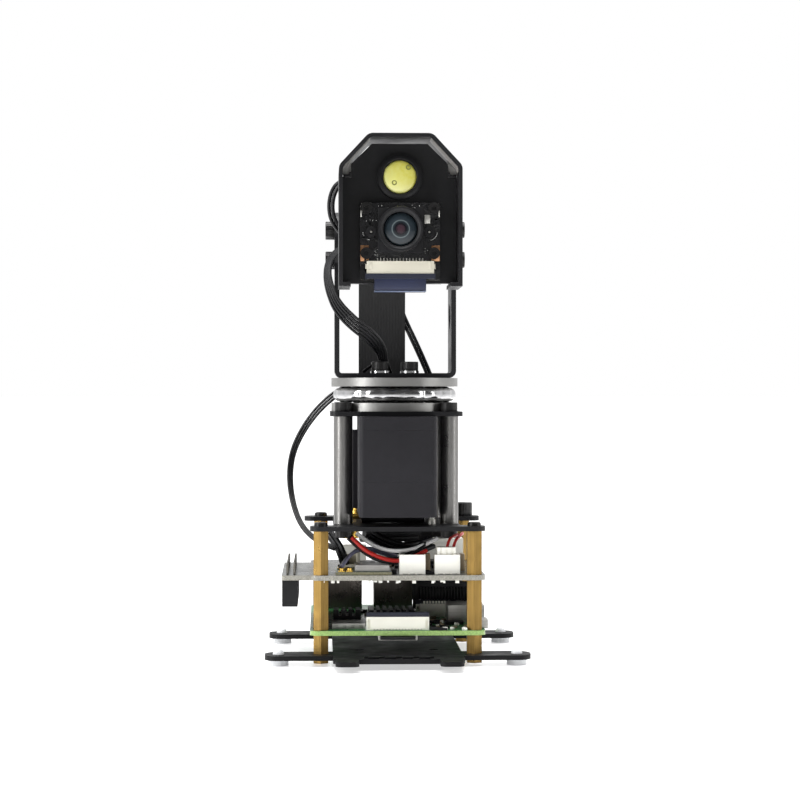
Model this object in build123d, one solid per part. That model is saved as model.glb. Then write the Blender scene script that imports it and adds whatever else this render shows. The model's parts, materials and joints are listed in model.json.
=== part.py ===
from build123d import *
import math
import os

# A pan-tilt camera tower, in millimetres. The origin is on the surface that it stands on, on the pan axis.
# +Z is up, the camera looks along -Y, and +X is to the right of someone facing the camera.

# Levels, from the surface up
FOOT_TOP = 2.0
BASE_TOP = 3.5
COMPUTER_BOTTOM = 9.5
COMPUTER_TOP = 11.0
DRIVER_BOTTOM = 27.0
DRIVER_TOP = 28.6
MIDDLE_BOTTOM = 42.6
MIDDLE_TOP = 44.1
DECK_BOTTOM = 79.1
DECK_TOP = 80.6
LOWER_WASHER_TOP = 83.4
UPPER_WASHER_BOTTOM = 88.8
BEARING_TOP = 91.6
YOKE_BASE_TOP = 93.2
TILT_Z = 135.7

# Boards, decks and the holes that they share
BOARD_X = 28.0
BOARD_FRONT = -32.5
COMPUTER_REAR = 52.5
DRIVER_REAR = 32.5
HOLE_X = 24.5
HOLE_Y = 29.0
REAR_FACE = 56.0
DECK_HALF = 21.5
POST_X = 17.2
POST_Y = 16.5
POST_R = 3.0
AERIAL = (-14.6, 26.5)

# Fasteners
STUD_R = 1.2
TAPPED_R = 1.3
HOLE_R = 1.35
HEX_FLATS = 4.7
M3_R = 1.4
M3_HOLE_R = 1.6
M3_HEAD_R = 2.75
M3_HEAD = 3.0
SOCKET_R = 1.25

# Bearing, 25 x 42 x 11
BEARING_R = 21.0
BEARING_BORE_R = 12.5
BALLS = 17
BALL_R = 2.75
BALL_CIRCLE_R = 16.75
BALL_Z = (LOWER_WASHER_TOP + UPPER_WASHER_BOTTOM) / 2

# Servos
SERVO_FRONT = -35.0
SERVO_REAR = 10.2
SERVO_HALF = 12.35
SERVO_WALL = 1.6
COVER = 4.3
PAN_COVER = 11.3
SHAFT_R = 3.0
RUNNING = 0.05
HORN_R = 10.0

# Yoke and head
YOKE_X = 20.0
SHEET = 1.6
YOKE_ROUND_R = 11.0
YOKE_HALF = 9.0
HORN_HOLE = 4.95
PLATE_BACK = -44.4
PLATE_FRONT = -46.0
HOOD_FRONT = -56.0
HOOD_REAR = -33.0
HOOD_X = 19.0
HOOD_BOTTOM = 119.4
HOOD_TOP = 166.4
HOOD_WALL = 1.2
LAMP_Z = 153.7
CAMERA_BACK = -48.5
CAMERA_FRONT = -50.1
CAMERA_Z = (121.6, 145.5)
CAMERA_X = 12.4
CAMERA_SCREW_Z = (129.8, 143.8)
LENS_Z = 137.0

CORNERS = [(-1, -1), (1, -1), (-1, 1), (1, 1)]
SIDES = [-1, 1]


def block(x0, x1, y0, y1, z0, z1):
    """A box between two corners."""
    centre = ((x0 + x1) / 2, (y0 + y1) / 2, (z0 + z1) / 2)
    return Pos(*centre) * Box(abs(x1 - x0), abs(y1 - y0), abs(z1 - z0))


def rod(x, y, z0, z1, radius):
    """A round bar along Z."""
    return Pos(x, y, (z0 + z1) / 2) * Cylinder(radius, abs(z1 - z0))


def rod_x(x0, x1, y, z, radius):
    """A round bar along X."""
    return Pos((x0 + x1) / 2, y, z) * Rot(0, 90, 0) * Cylinder(radius, abs(x1 - x0))


def rod_y(y0, y1, x, z, radius):
    """A round bar along Y."""
    return Pos(x, (y0 + y1) / 2, z) * Rot(90, 0, 0) * Cylinder(radius, abs(y1 - y0))


def hexagon(x, y, z0, z1, flats):
    """A hexagonal bar along Z with a corner towards the front."""
    shape = RegularPolygon(flats / math.sqrt(3), 6, rotation=30)
    return Pos(x, y, z0) * extrude(shape, z1 - z0)


def rounded_plate(x0, x1, y0, y1, z0, z1, radius):
    """A flat plate with rounded corners."""
    outline = RectangleRounded(x1 - x0, y1 - y0, radius)
    return Pos((x0 + x1) / 2, (y0 + y1) / 2, z0) * extrude(outline, z1 - z0)


def save(name, *pieces):
    """Writes one node from its separate solids."""
    solids = [solid for piece in pieces for solid in piece.solids()]
    node = Compound(children=solids) if len(solids) > 1 else solids[0]
    export_step(node, "parts/" + name + ".step")


def bent_tube(name, points, diameter):
    """A lead along straight runs joined by arcs, each as large as its two runs allow."""
    corners = [Vector(*point) for point in points]
    radii = []
    for before, corner, after in zip(corners, corners[1:], corners[2:]):
        turn = (corner - before).get_angle(after - corner)
        shorter = min((corner - before).length, (after - corner).length)
        radii.append(0.45 * shorter / math.tan(math.radians(turn) / 2))
    path = FilletPolyline(*corners, radius=radii)
    section = Plane(origin=corners[0], z_dir=corners[1] - corners[0]) * Circle(diameter / 2)
    tube = sweep(section, path=path)
    expected = math.pi * diameter**2 / 4 * path.length
    print(name, "radii", [round(radius, 1) for radius in radii], "length", round(path.length, 1),
          "volume share", round(tube.volume / expected, 3))
    return tube


def socket_screw(x, y, face, shank):
    """A socket cap screw standing on a level face, with its shank below."""
    head = rod(x, y, face, face + M3_HEAD, M3_HEAD_R) - rod(x, y, face + 1.4, face + M3_HEAD, SOCKET_R)
    return head + rod(x, y, face - shank, face, M3_R)


def hanging_screw(x, y, face, shank):
    """A socket cap screw with its head below a level face."""
    head = rod(x, y, face - M3_HEAD, face, M3_HEAD_R) - rod(x, y, face - M3_HEAD, face - 1.4, SOCKET_R)
    return head + rod(x, y, face, face + shank, M3_R)


# Base

def base_plate():
    spine_x, spine_end = 20.7, 45.0
    arm_x, arm_near, arm_far = 42.4, 24.0, 36.0
    prong_x, prong_half, prong_end = 16.3, 3.7, -52.0
    plate = rounded_plate(-spine_x, spine_x, -spine_end, spine_end, FOOT_TOP, BASE_TOP, 2.5)
    for side in SIDES:
        low, high = sorted((side * arm_near, side * arm_far))
        plate += rounded_plate(-arm_x, arm_x, low, high, FOOT_TOP, BASE_TOP, 4.5)
        prong = side * prong_x
        plate += rounded_plate(prong - prong_half, prong + prong_half, prong_end, -spine_end + 6,
                               FOOT_TOP, BASE_TOP, 2.0)
    for x, y in CORNERS:
        plate -= rod(x * HOLE_X, y * HOLE_Y, 0, 5, HOLE_R)
        plate -= rod(x * 38.0, y * 30.5, 0, 5, M3_R)
        plate -= rod(x * 12.0, y * 20.0, 0, 5, M3_HOLE_R)
    return plate


def feet():
    pads, rivets = [], []
    for x, y in CORNERS:
        place = (x * 38.0, y * 30.5)
        pads.append(rod(*place, 0, FOOT_TOP, 3.2) - rod(*place, -1, 3, M3_R))
        dome = Pos(*place, BASE_TOP) * Sphere(1.8) & rod(*place, BASE_TOP, BASE_TOP + 1.4, 2.0)
        rivets.append(dome + rod(*place, 0.5, BASE_TOP, M3_R - 0.02))
    save("foot_pads", *pads)
    save("foot_rivets", *rivets)


def standoff(x, y, bottom, top, stud):
    """A hex spacer with a stud below and a tapped hole above."""
    body = hexagon(x, y, bottom, top, HEX_FLATS) + rod(x, y, bottom - stud, bottom, STUD_R)
    return body - rod(x, y, top - 5.5, top, TAPPED_R)


def standoffs():
    pieces = []
    for x, y in CORNERS:
        place = (x * HOLE_X, y * HOLE_Y)
        pieces.append(standoff(*place, BASE_TOP, COMPUTER_BOTTOM, 3.1))
        pieces.append(hexagon(*place, 0.5, FOOT_TOP, HEX_FLATS) - rod(*place, 0, 3, TAPPED_R))
        pieces.append(standoff(*place, COMPUTER_TOP, DRIVER_BOTTOM, 5.0))
        pieces.append(standoff(*place, DRIVER_TOP, MIDDLE_BOTTOM, 5.0))
    save("standoffs", *pieces)


# Computer board

def computer_board():
    board = rounded_plate(-BOARD_X, BOARD_X, BOARD_FRONT, COMPUTER_REAR, COMPUTER_BOTTOM, COMPUTER_TOP, 3.0)
    for x, y in CORNERS:
        board -= rod(x * HOLE_X, y * HOLE_Y, 5, 15, HOLE_R)
    return board


def rear_ports():
    """Two double socket blocks and a network socket, all open at the rear."""
    pieces = []
    usb_half, usb_front, usb_top, depth = 6.8, 37.6, 26.7, 12.0
    for x in (-16.9, 0.8):
        shell = block(x - usb_half, x + usb_half, usb_front, REAR_FACE, COMPUTER_TOP, usb_top)
        for low in (11.9, 19.8):
            mouth = block(x - 6.0, x + 6.0, REAR_FACE - depth, REAR_FACE, low, low + 6.0)
            tongue = block(x - 5.0, x + 5.0, REAR_FACE - depth, REAR_FACE - 1.0, low + 0.8, low + 2.4)
            shell = shell - mouth + tongue
        pieces.append(shell)
    socket = block(10.75, 26.75, 34.7, REAR_FACE, COMPUTER_TOP, 24.5)
    socket -= block(12.9, 24.6, REAR_FACE - 14.0, REAR_FACE, 13.6, 21.0)
    socket -= block(15.7, 21.8, REAR_FACE - 14.0, REAR_FACE, 12.4, 13.6)
    save("rear_ports", *pieces, socket)


def metal_ports():
    """The video socket, power socket and card holder."""
    video = block(17.4, 29.4, -8.0, 7.0, COMPUTER_TOP, 16.6)
    video -= block(20.0, 29.4, -7.3, 6.3, 11.8, 15.9)
    video += block(20.0, 28.6, -5.0, 5.0, 13.4, 14.2)
    power = block(23.6, 29.2, -26.0, -18.2, COMPUTER_TOP, 13.8)
    power -= block(24.6, 29.2, -25.5, -18.7, 11.5, 13.3)
    power += block(24.6, 28.6, -24.2, -20.0, 12.2, 12.6)
    holder = block(-6.2, 6.2, -31.9, -17.6, 8.0, COMPUTER_BOTTOM)
    holder -= block(-5.6, 5.6, -31.9, -18.4, 8.3, 9.3)
    save("metal_ports", video, power, holder)


def memory_card():
    """It slides in the holder with clearance all round."""
    card = block(-5.45, 5.45, -34.6, -19.6, 8.42, 9.14)
    return card + block(-5.45, 5.45, -34.6, -33.6, 9.14, 9.34)


def flat_cable_ports():
    """Flat-cable connectors: a white housing with a pull-up latch, at the front and in the middle."""
    bodies, latches = [], []
    half = 10.0
    for x, y in ((0.0, -28.6), (17.6, 12.5)):
        housing = block(x - half, x + half, y - 1.9, y + 1.9, COMPUTER_TOP, 15.2)
        housing -= block(x - half + 1.6, x + half - 1.6, y - 0.35, y + 0.85, 12.0, 15.2)
        for side in SIDES:
            groove = x + side * (half - 0.8)
            housing -= block(groove - 0.35, groove + 0.35, y - 1.9, y - 1.4, 11.6, 14.4)
        bodies.append(housing)
        bar = block(x - half, x + half, y - 1.5, y - 0.35, 15.2, 16.6)
        for side in SIDES:
            edge = x + side * (half - 0.5)
            bar += block(edge - 0.5, edge + 0.5, y - 0.35, y + 1.5, 15.2, 16.2)
        latches.append(bar)
    save("flat_cable_ports", *bodies)
    save("flat_cable_latches", *latches)


def radio_shields():
    """Metal cans over the two radios, the lower one with open crenellations at its front."""
    lower = block(-20.9, -10.3, -27.0, -15.4, COMPUTER_TOP, 12.8)
    for step in range(4):
        x = -19.6 + 2.66 * step
        lower -= block(x - 0.55, x + 0.55, -27.0, -26.3, 11.3, 12.3)
    upper = block(-13.6, -2.6, -27.6, -15.6, DRIVER_TOP + 0.8, 31.5)
    save("radio_shields", lower, upper)


def heat_sinks():
    """Finned blocks on the processor and on the port controller."""
    pieces = []
    for x0, x1, y0, y1, low, top in ((-8.7, 6.3, -7.0, 8.0, 12.2, 15.0), (-20.4, -11.4, -9.6, -0.6, 12.0, 15.4)):
        sink = block(x0, x1, y0, y1, low, top)
        fins = round((x1 - x0) / 2.2)
        pitch = (x1 - x0) / fins
        for index in range(1, fins):
            x = x0 + index * pitch
            sink -= block(x - 0.5, x + 0.5, y0, y1, low + 1.4, top)
        pieces.append(sink)
    save("heat_sinks", *pieces)


def board_chips():
    """Black parts of both boards: chips, the pin header's base and the sound socket."""
    low, high = COMPUTER_TOP, DRIVER_TOP
    pieces = [
        block(-8.4, 6.0, -6.7, 7.7, low, 12.2),
        block(-20.2, -11.6, -9.4, -0.8, low, 12.0),
        block(-2.0, 8.0, 20.0, 30.0, low, 12.0),
        block(16.0, 22.0, -16.0, -11.0, low, 12.1),
        block(-27.0, -22.0, -25.4, 25.4, low, 13.5),
        block(21.0, 28.6, 17.6, 24.6, low, 17.0) - rod_x(20.0, 30.0, 21.1, 14.2, 1.8),
        block(-18.0, -8.0, -2.0, 6.0, high, 30.2),
        block(4.0, 14.0, 2.0, 12.0, high, 30.4),
        block(15.5, 18.0, -14.0, -9.0, high, 30.0),
        block(-1.6, -0.2, -27.0, -23.0, high, 30.0),
    ]
    save("board_chips", *pieces)


# Driver board

EXPANSION_X = (-37.0, -30.9)
PIN_ROWS = (-35.2, -33.0)


def driver_board():
    board = rounded_plate(-BOARD_X, BOARD_X, BOARD_FRONT, DRIVER_REAR, DRIVER_BOTTOM, DRIVER_TOP, 3.0)
    board += rounded_plate(EXPANSION_X[0], -20.0, -31.0, 21.6, DRIVER_BOTTOM, DRIVER_TOP, 0.8)
    for x, y in CORNERS:
        board -= rod(x * HOLE_X, y * HOLE_Y, 25, 30, HOLE_R)
    return board


def pin_places(rows, first, count):
    pitch = 2.54
    return [(x, first + pitch * index) for x in rows for index in range(count)]


def board_sockets():
    """Two-row sockets under the driver board: one on the computer's header, one at the left."""
    pieces = []
    for x0, x1, rows, first, last in ((-27.0, -22.0, (-25.77, -23.23), -24.13, 25.4),
                                      (-36.9, -31.9, PIN_ROWS, -28.5, 20.8)):
        low = 18.5
        start = first - 1.27
        body = block(x0, x1, start, last, low, DRIVER_BOTTOM)
        for x in rows:
            body -= block(x - 0.45, x + 0.45, start + 0.6, last - 0.6, low, low + 1.6)
        pieces.append(body)
    save("board_sockets", *pieces)


def board_pins():
    """Square pins of the computer's header and of the left extension."""
    pieces = []
    for x, y in pin_places((-25.77, -23.23), -24.13, 20):
        pieces.append(block(x - 0.32, x + 0.32, y - 0.32, y + 0.32, 13.5, 18.4))
    for x, y in pin_places(PIN_ROWS, -28.5, 19):
        pieces.append(block(x - 0.32, x + 0.32, y - 0.32, y + 0.32, DRIVER_TOP, DRIVER_TOP + 3.4))
    save("board_pins", *pieces)


def radio_module():
    return block(-19.8, -1.9, -29.4, -9.0, DRIVER_TOP, DRIVER_TOP + 0.8)


def servo_socket(x0, x1, y0, y1, top):
    """A shrouded three-pin socket, open above."""
    body = block(x0, x1, y0, y1, DRIVER_TOP, top)
    body -= block(x0 + 0.8, x1 - 0.8, y0 + 0.8, y1 - 0.8, DRIVER_TOP + 2.0, top)
    for index in (-1, 0, 1):
        x = (x0 + x1) / 2 + 2.0 * index
        y = (y0 + y1) / 2
        body += block(x - 0.3, x + 0.3, y - 0.3, y + 0.3, DRIVER_TOP + 2.0, top - 1.2)
    return body


def driver_sockets():
    front = [servo_socket(0.6, 8.9, -29.0, -22.6, 34.9), servo_socket(11.9, 20.0, -29.0, -22.6, 34.9)]
    rear = [servo_socket(-17.0, -9.0, 20.0, 26.4, 34.4), servo_socket(-5.0, 3.0, 20.0, 26.4, 34.4)]
    terminal = block(12.0, 24.0, 16.0, 24.0, DRIVER_TOP, 37.0)
    for x in (15.0, 21.0):
        terminal -= rod(x, 20.0, 35.0, 37.0, 1.9)
        terminal -= block(x - 1.8, x + 1.8, 22.0, 24.0, 30.0, 34.0)
    save("driver_sockets", *front, *rear, terminal)


def servo_plug():
    """A plug in the right-hand socket, clear of its pins, with ribs on its front."""
    x0, x1 = 12.75, 18.75
    plug = block(x0, x1, -28.15, -23.45, 33.8, 37.2)
    for index in range(3):
        x = x0 + 1.2 + 1.8 * index
        plug -= block(x - 0.3, x + 0.3, -28.15, -27.85, 35.0, 37.2)
    return plug


# Decks and posts

def middle_deck():
    """A plate with an arm at each corner, the rear pair a little longer."""
    spine_x, arm = 20.4, 8.6
    deck = rounded_plate(-spine_x, spine_x, BOARD_FRONT, DRIVER_REAR, MIDDLE_BOTTOM, MIDDLE_TOP, 1.5)
    for reach, low, high in ((BOARD_X, BOARD_FRONT, BOARD_FRONT + arm), (30.2, DRIVER_REAR - arm, DRIVER_REAR)):
        deck += rounded_plate(-reach, reach, low, high, MIDDLE_BOTTOM, MIDDLE_TOP, 3.0)
    for x, y in CORNERS:
        deck -= rod(x * HOLE_X, y * HOLE_Y, 40, 46, HOLE_R)
        deck -= rod(x * POST_X, y * POST_Y, 40, 46, M3_HOLE_R)
    deck -= rod(*AERIAL, 40, 46, 3.3)
    deck -= rounded_plate(-6.0, 6.0, -4.0, 4.0, 40, 46, 2.0)
    return deck


def top_deck():
    deck = rounded_plate(-DECK_HALF, DECK_HALF, -DECK_HALF, DECK_HALF, DECK_BOTTOM, DECK_TOP, 2.5)
    deck -= rod(0, 0, 75, 85, HORN_R + 1.0)
    for x, y in CORNERS:
        deck -= rod(x * POST_X, y * POST_Y, 75, 85, M3_HOLE_R)
    return deck


def posts():
    pieces = []
    for x, y in CORNERS:
        place = (x * POST_X, y * POST_Y)
        post = rod(*place, MIDDLE_TOP, DECK_BOTTOM, POST_R)
        post -= rod(*place, MIDDLE_TOP, MIDDLE_TOP + 8, M3_R)
        post -= rod(*place, DECK_BOTTOM - 8, DECK_BOTTOM, M3_R)
        pieces.append(post)
    save("posts", *pieces)


def deck_screws():
    """Screws of the posts, low screws in the standoffs and one tall cap screw."""
    pieces = []
    for x, y in CORNERS:
        pieces.append(socket_screw(x * POST_X, y * POST_Y, DECK_TOP, 7.0))
        pieces.append(hanging_screw(x * POST_X, y * POST_Y, MIDDLE_BOTTOM, 7.0))
        place = (x * HOLE_X, y * HOLE_Y)
        tall = (x, y) == (1, 1)
        radius, height = (2.8, 4.4) if tall else (2.2, 1.3)
        head = rod(*place, MIDDLE_TOP, MIDDLE_TOP + height, radius)
        head -= rod(*place, MIDDLE_TOP + height - 0.8, MIDDLE_TOP + height, 1.0)
        pieces.append(head + rod(*place, MIDDLE_BOTTOM - 3.5, MIDDLE_TOP, STUD_R))
    save("deck_screws", *pieces)


def aerial_sockets():
    """The threaded aerial socket in the middle deck, and two tiny aerial jacks on the radio module."""
    x, y = AERIAL
    body = rod(x, y, MIDDLE_BOTTOM - 6.0, 49.4, 3.175) - rod(x, y, 45.4, 49.4, 2.3)
    body += rod(x, y, 45.4, 48.6, 0.5)
    body += hexagon(x, y, MIDDLE_TOP, 45.6, 7.4) - rod(x, y, 45.4, 46.0, 2.3)
    body += hexagon(x, y, MIDDLE_BOTTOM - 1.8, MIDDLE_BOTTOM, 7.4)
    jacks = []
    for jack_x in (-18.0, -15.4):
        base = block(jack_x - 1.0, jack_x + 1.0, -28.6, -26.6, DRIVER_TOP + 0.8, DRIVER_TOP + 1.2)
        jacks.append(base + rod(jack_x, -27.6, DRIVER_TOP + 1.2, DRIVER_TOP + 2.0, 0.8))
    save("aerial_sockets", body, *jacks)


# Servos

def servo(low, high, lower=COVER):
    """A servo standing on Z: its case with a cavity, its two covers and its motor, with the shaft on the axis."""
    def outline(grow):
        return RectangleRounded(SERVO_REAR - SERVO_FRONT + 2 * grow, 2 * (SERVO_HALF + grow), 1.6)

    centre = (SERVO_FRONT + SERVO_REAR) / 2
    turn = Pos(0, centre, 0) * Rot(0, 0, 90)
    bottom, top = low + lower, high - COVER
    case = Pos(0, 0, bottom) * turn * extrude(outline(0), top - bottom)
    case -= block(-SERVO_HALF + SERVO_WALL, SERVO_HALF - SERVO_WALL, SERVO_FRONT + SERVO_WALL,
                  SERVO_REAR - SERVO_WALL, bottom, top)
    covers = []
    for start, end in ((low, bottom), (top, high)):
        cover = Pos(0, 0, start) * turn * extrude(outline(0), end - start)
        cover -= rod(0, 0, start - 1, end + 1, SHAFT_R + RUNNING)
        for x, y in ((-1, SERVO_FRONT + 3), (1, SERVO_FRONT + 3), (-1, SERVO_REAR - 3), (1, SERVO_REAR - 3)):
            outer = (start, start + 1.0) if start == low else (end - 1.0, end)
            cover -= rod(x * (SERVO_HALF - 3), y, *outer, 1.3)
        covers.append(cover)
    motor = rod(0, SERVO_FRONT + 11.0, bottom + 1.0, top - 4.0, 8.0)
    motor += rod(0, SERVO_FRONT + 11.0, top - 4.0, top - 1.0, 1.5)
    return case, covers, motor


def pan_servo():
    low = 47.1
    case, covers, motor = servo(low, DECK_BOTTOM, PAN_COVER)
    for side in SIDES:
        rib = sorted((side * SERVO_HALF, side * (SERVO_HALF + 1.6)))
        case += block(*rib, -4.0, 7.0, low + PAN_COVER, 74.4)
        covers[0] += block(*rib, -4.0, 7.0, low + 1.4, low + PAN_COVER)
    save("pan_servo_case", case)
    save("pan_servo_covers", *covers)
    save("pan_servo_motor", motor)


def tilt_servo():
    case, covers, motor = servo(-16.0, 16.0)
    lie = Pos(0, 0, TILT_Z) * Rot(0, 90, 0)
    save("tilt_servo_case", lie * case)
    save("tilt_servo_covers", *[lie * cover for cover in covers])
    save("tilt_servo_motor", lie * motor)


# Bearing

def bearing_washer(bottom, top):
    ring = rod(0, 0, bottom, top, BEARING_R) - rod(0, 0, bottom - 1, top + 1, BEARING_BORE_R)
    return ring - Pos(0, 0, BALL_Z) * Torus(BALL_CIRCLE_R, BALL_R + 0.04)


def bearing_cage():
    """A pressed ring with a crimped outer wall, one pocket for each ball."""
    outer, inner, wall = 20.4, 13.0, 0.6
    low, high = LOWER_WASHER_TOP + 0.6, UPPER_WASHER_BOTTOM - 0.5
    cage = rod(0, 0, BALL_Z - 0.7, BALL_Z + 0.7, outer) - rod(0, 0, 80, 90, inner)
    cage += rod(0, 0, low, high, outer) - rod(0, 0, 80, 90, outer - wall)
    pitch = 360 / BALLS
    for index in range(BALLS):
        spin = Rot(0, 0, index * pitch - 93.7)
        cage -= spin * rod(BALL_CIRCLE_R, 0, 80, 90, BALL_R + 0.1)
        dip = Rot(0, 0, (index + 0.5) * pitch - 93.7)
        cage -= dip * rod_x(outer - 2, outer + 1, 0, high + 1.0, 2.0)
    return cage


def bearing_balls():
    pitch = 360 / BALLS
    balls = []
    for index in range(BALLS):
        balls.append(Rot(0, 0, index * pitch - 93.7) * Pos(BALL_CIRCLE_R, 0, BALL_Z) * Sphere(BALL_R))
    save("bearing_balls", *balls)


def pan_coupler():
    """The horn on the pan servo's shaft, carried up through the bearing to the yoke, with a bore for leads."""
    body = rod(0, 0, DECK_BOTTOM + 0.5, 82.4, HORN_R) + rod(0, 0, 82.4, BEARING_TOP, 9.0)
    body += rod(0, 0, 72.0, DECK_BOTTOM + 0.5, SHAFT_R)
    body -= rod(0, 0, 84.0, 95.0, 3.0)
    for x, y in CORNERS:
        body -= rod(x * HORN_HOLE, y * HORN_HOLE, 84.0, 95.0, M3_R)
    return body


# Yoke

def yoke():
    """A bent sheet with rounded ears for the tilt horns."""
    inner = YOKE_X - SHEET
    outer_box = block(-YOKE_X, YOKE_X, -YOKE_HALF, YOKE_HALF, BEARING_TOP, TILT_Z)
    outer_box = fillet(outer_box.edges().filter_by(Axis.Y).group_by(Axis.Z)[0], 2.4)
    hollow = block(-inner, inner, -20, 20, YOKE_BASE_TOP, TILT_Z + 20)
    hollow = fillet(hollow.edges().filter_by(Axis.Y).group_by(Axis.Z)[0], 0.8)
    body = outer_box - hollow
    for side in SIDES:
        low, high = sorted((side * inner, side * YOKE_X))
        body += rod_x(low, high, 0, TILT_Z, YOKE_ROUND_R)
        body -= rod_x(low - 1, high + 1, 0, TILT_Z, SHAFT_R + 1.0)
        body -= rod_x(low - 1, high + 1, 0, 112.0, 4.2)
        for y, z in CORNERS:
            body -= rod_x(low - 1, high + 1, y * HORN_HOLE, TILT_Z + z * HORN_HOLE, M3_HOLE_R)
    body -= rod(0, 0, 90, 95, 3.0)
    for x, y in CORNERS:
        body -= rod(x * HORN_HOLE, y * HORN_HOLE, 90, 95, M3_HOLE_R)
    return body


def yoke_fasteners():
    """Four screws on washers in the yoke's base, and four in each ear."""
    washers, screws = [], []
    thick = 0.8
    face = YOKE_BASE_TOP + thick
    for x, y in CORNERS:
        place = (x * HORN_HOLE, y * HORN_HOLE)
        washers.append(rod(*place, YOKE_BASE_TOP, face, 3.0) - rod(*place, 90, 97, M3_HOLE_R))
        screws.append(socket_screw(*place, face, 7.0))
    for side in SIDES:
        for y, z in CORNERS:
            across = y * HORN_HOLE
            up = TILT_Z + z * HORN_HOLE
            head_low, head_high = sorted((side * YOKE_X, side * (YOKE_X + M3_HEAD)))
            screw = rod_x(head_low, head_high, across, up, M3_HEAD_R * 0.96)
            socket = sorted((side * (YOKE_X + 1.6), side * (YOKE_X + M3_HEAD)))
            screw -= rod_x(*socket, across, up, SOCKET_R)
            shank = sorted((side * 16.6, side * YOKE_X))
            screws.append(screw + rod_x(*shank, across, up, M3_R))
    save("yoke_washers", *washers)
    save("yoke_screws", *screws)


def tilt_horns():
    """A disc on each end of the tilt servo's shaft, held in the yoke's ears."""
    horns = []
    for side in SIDES:
        disc = rod_x(*sorted((side * 16.1, side * (YOKE_X - SHEET))), 0, TILT_Z, HORN_R)
        disc += rod_x(*sorted((side * 12.0, side * 16.1)), 0, TILT_Z, SHAFT_R)
        disc += rod_x(*sorted((side * (YOKE_X - SHEET), side * YOKE_X)), 0, TILT_Z, SHAFT_R)
        for y, z in CORNERS:
            disc -= rod_x(-30, 30, y * HORN_HOLE, TILT_Z + z * HORN_HOLE, M3_R)
        horns.append(disc)
    save("tilt_horns", *horns)


# Head

def hood_outline(inset):
    """The hood seen from the front: straight sides, chamfered shoulders and a flat top."""
    side, top = HOOD_X - inset, HOOD_TOP - inset
    flat = 9.8 - 0.4 * inset
    shoulder = HOOD_TOP - 9.9 - 0.4 * inset
    return [(-side, HOOD_BOTTOM), (-side, shoulder), (-flat, top), (flat, top), (side, shoulder),
            (side, HOOD_BOTTOM)]


def front_face(points, y, thickness):
    """Extrudes an outline in the XZ plane backwards from y."""
    wire = Polyline(*[(x, y, z) for x, z in points], close=True)
    return extrude(make_face(wire), thickness, dir=(0, 1, 0))


def round_shoulders(shape, radius):
    """Rounds the hood's two shoulders and its two upper corners."""
    bends = shape.edges().filter_by(Axis.Y).group_by(Axis.Z)[1:]
    return fillet([edge for bend in bends for edge in bend], radius)


def hood():
    depth = HOOD_REAR - HOOD_FRONT
    shell = round_shoulders(front_face(hood_outline(0), HOOD_FRONT, depth), 3.0)
    inside = front_face([(x, z - 0.01) for x, z in hood_outline(HOOD_WALL)], HOOD_FRONT - 1, depth + 2)
    shell -= round_shoulders(inside, 1.8)
    shell -= block(-17, 17, -60, -30, HOOD_BOTTOM - 3, HOOD_BOTTOM + 3)
    for side in SIDES:
        lip = sorted((side * (HOOD_X - HOOD_WALL), side * (HOOD_X - 3.6)))
        shell += block(*lip, HOOD_FRONT, HOOD_REAR, HOOD_BOTTOM, HOOD_BOTTOM + HOOD_WALL)
        tab = sorted((side * (HOOD_X - HOOD_WALL), side * 15.5))
        shell += block(*tab, PLATE_BACK + 0.3, PLATE_BACK + 1.3, 154.6, 158.4)
    return shell


def head_plate():
    """The sheet that carries camera and lamp, with narrow shoulders above."""
    wide, narrow, top = 17.75, 15.1, 164.2
    low, shoulder, chamfer = 120.7, 153.9, 157.9
    points = [(-wide, low), (-wide, shoulder), (-narrow, shoulder), (-narrow, chamfer), (-8.7, top), (8.7, top),
              (narrow, chamfer), (narrow, shoulder), (wide, shoulder), (wide, low)]
    plate = front_face(points, PLATE_FRONT, PLATE_BACK - PLATE_FRONT)
    plate -= rod_y(-50, -40, 0, LAMP_Z, 5.2)
    for x in (-10.5, 10.5):
        for z in CAMERA_SCREW_Z:
            plate -= rod_y(-50, -40, x, z, 1.05)
    return plate


def head_bracket():
    """A channel from the plate back to the tilt servo's front end."""
    web = block(-14.0, 14.0, SERVO_FRONT - SHEET, SERVO_FRONT, 124.5, 147.0)
    for side in SIDES:
        wall = sorted((side * 12.4, side * 14.0))
        web += block(*wall, PLATE_BACK, SERVO_FRONT, 124.5, 147.0)
    return web - rod_y(-50, -30, 0, TILT_Z, 4.0)


def lamp():
    bezel = rod_y(PLATE_FRONT - 2.4, PLATE_FRONT, 0, LAMP_Z, 7.1)
    bezel -= rod_y(PLATE_FRONT - 2.4, PLATE_FRONT, 0, LAMP_Z, 5.25)
    lens = rod_y(PLATE_FRONT - 2.0, PLATE_BACK + 1.0, 0, LAMP_Z, 5.15)
    save("lamp_bezel", bezel)
    save("lamp_lens", lens)


def camera_board():
    board = block(-CAMERA_X, CAMERA_X, CAMERA_FRONT, CAMERA_BACK, *CAMERA_Z)
    for x in (-10.5, 10.5):
        for z in CAMERA_SCREW_Z:
            board -= rod_y(-55, -45, x, z, 1.1)
            board += rod_y(CAMERA_BACK, PLATE_FRONT, x, z, 2.0) - rod_y(-55, -45, x, z, 1.1)
    return board


def camera_screws():
    screws = []
    for x in (-10.5, 10.5):
        for z in CAMERA_SCREW_Z:
            head = rod_y(CAMERA_FRONT - 1.4, CAMERA_FRONT, x, z, 1.8)
            head -= rod_y(CAMERA_FRONT - 1.4, CAMERA_FRONT - 0.7, x, z, 0.75)
            screws.append(head + rod_y(CAMERA_FRONT, -43.4, x, z, 0.95))
    save("camera_screws", *screws)


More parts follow.
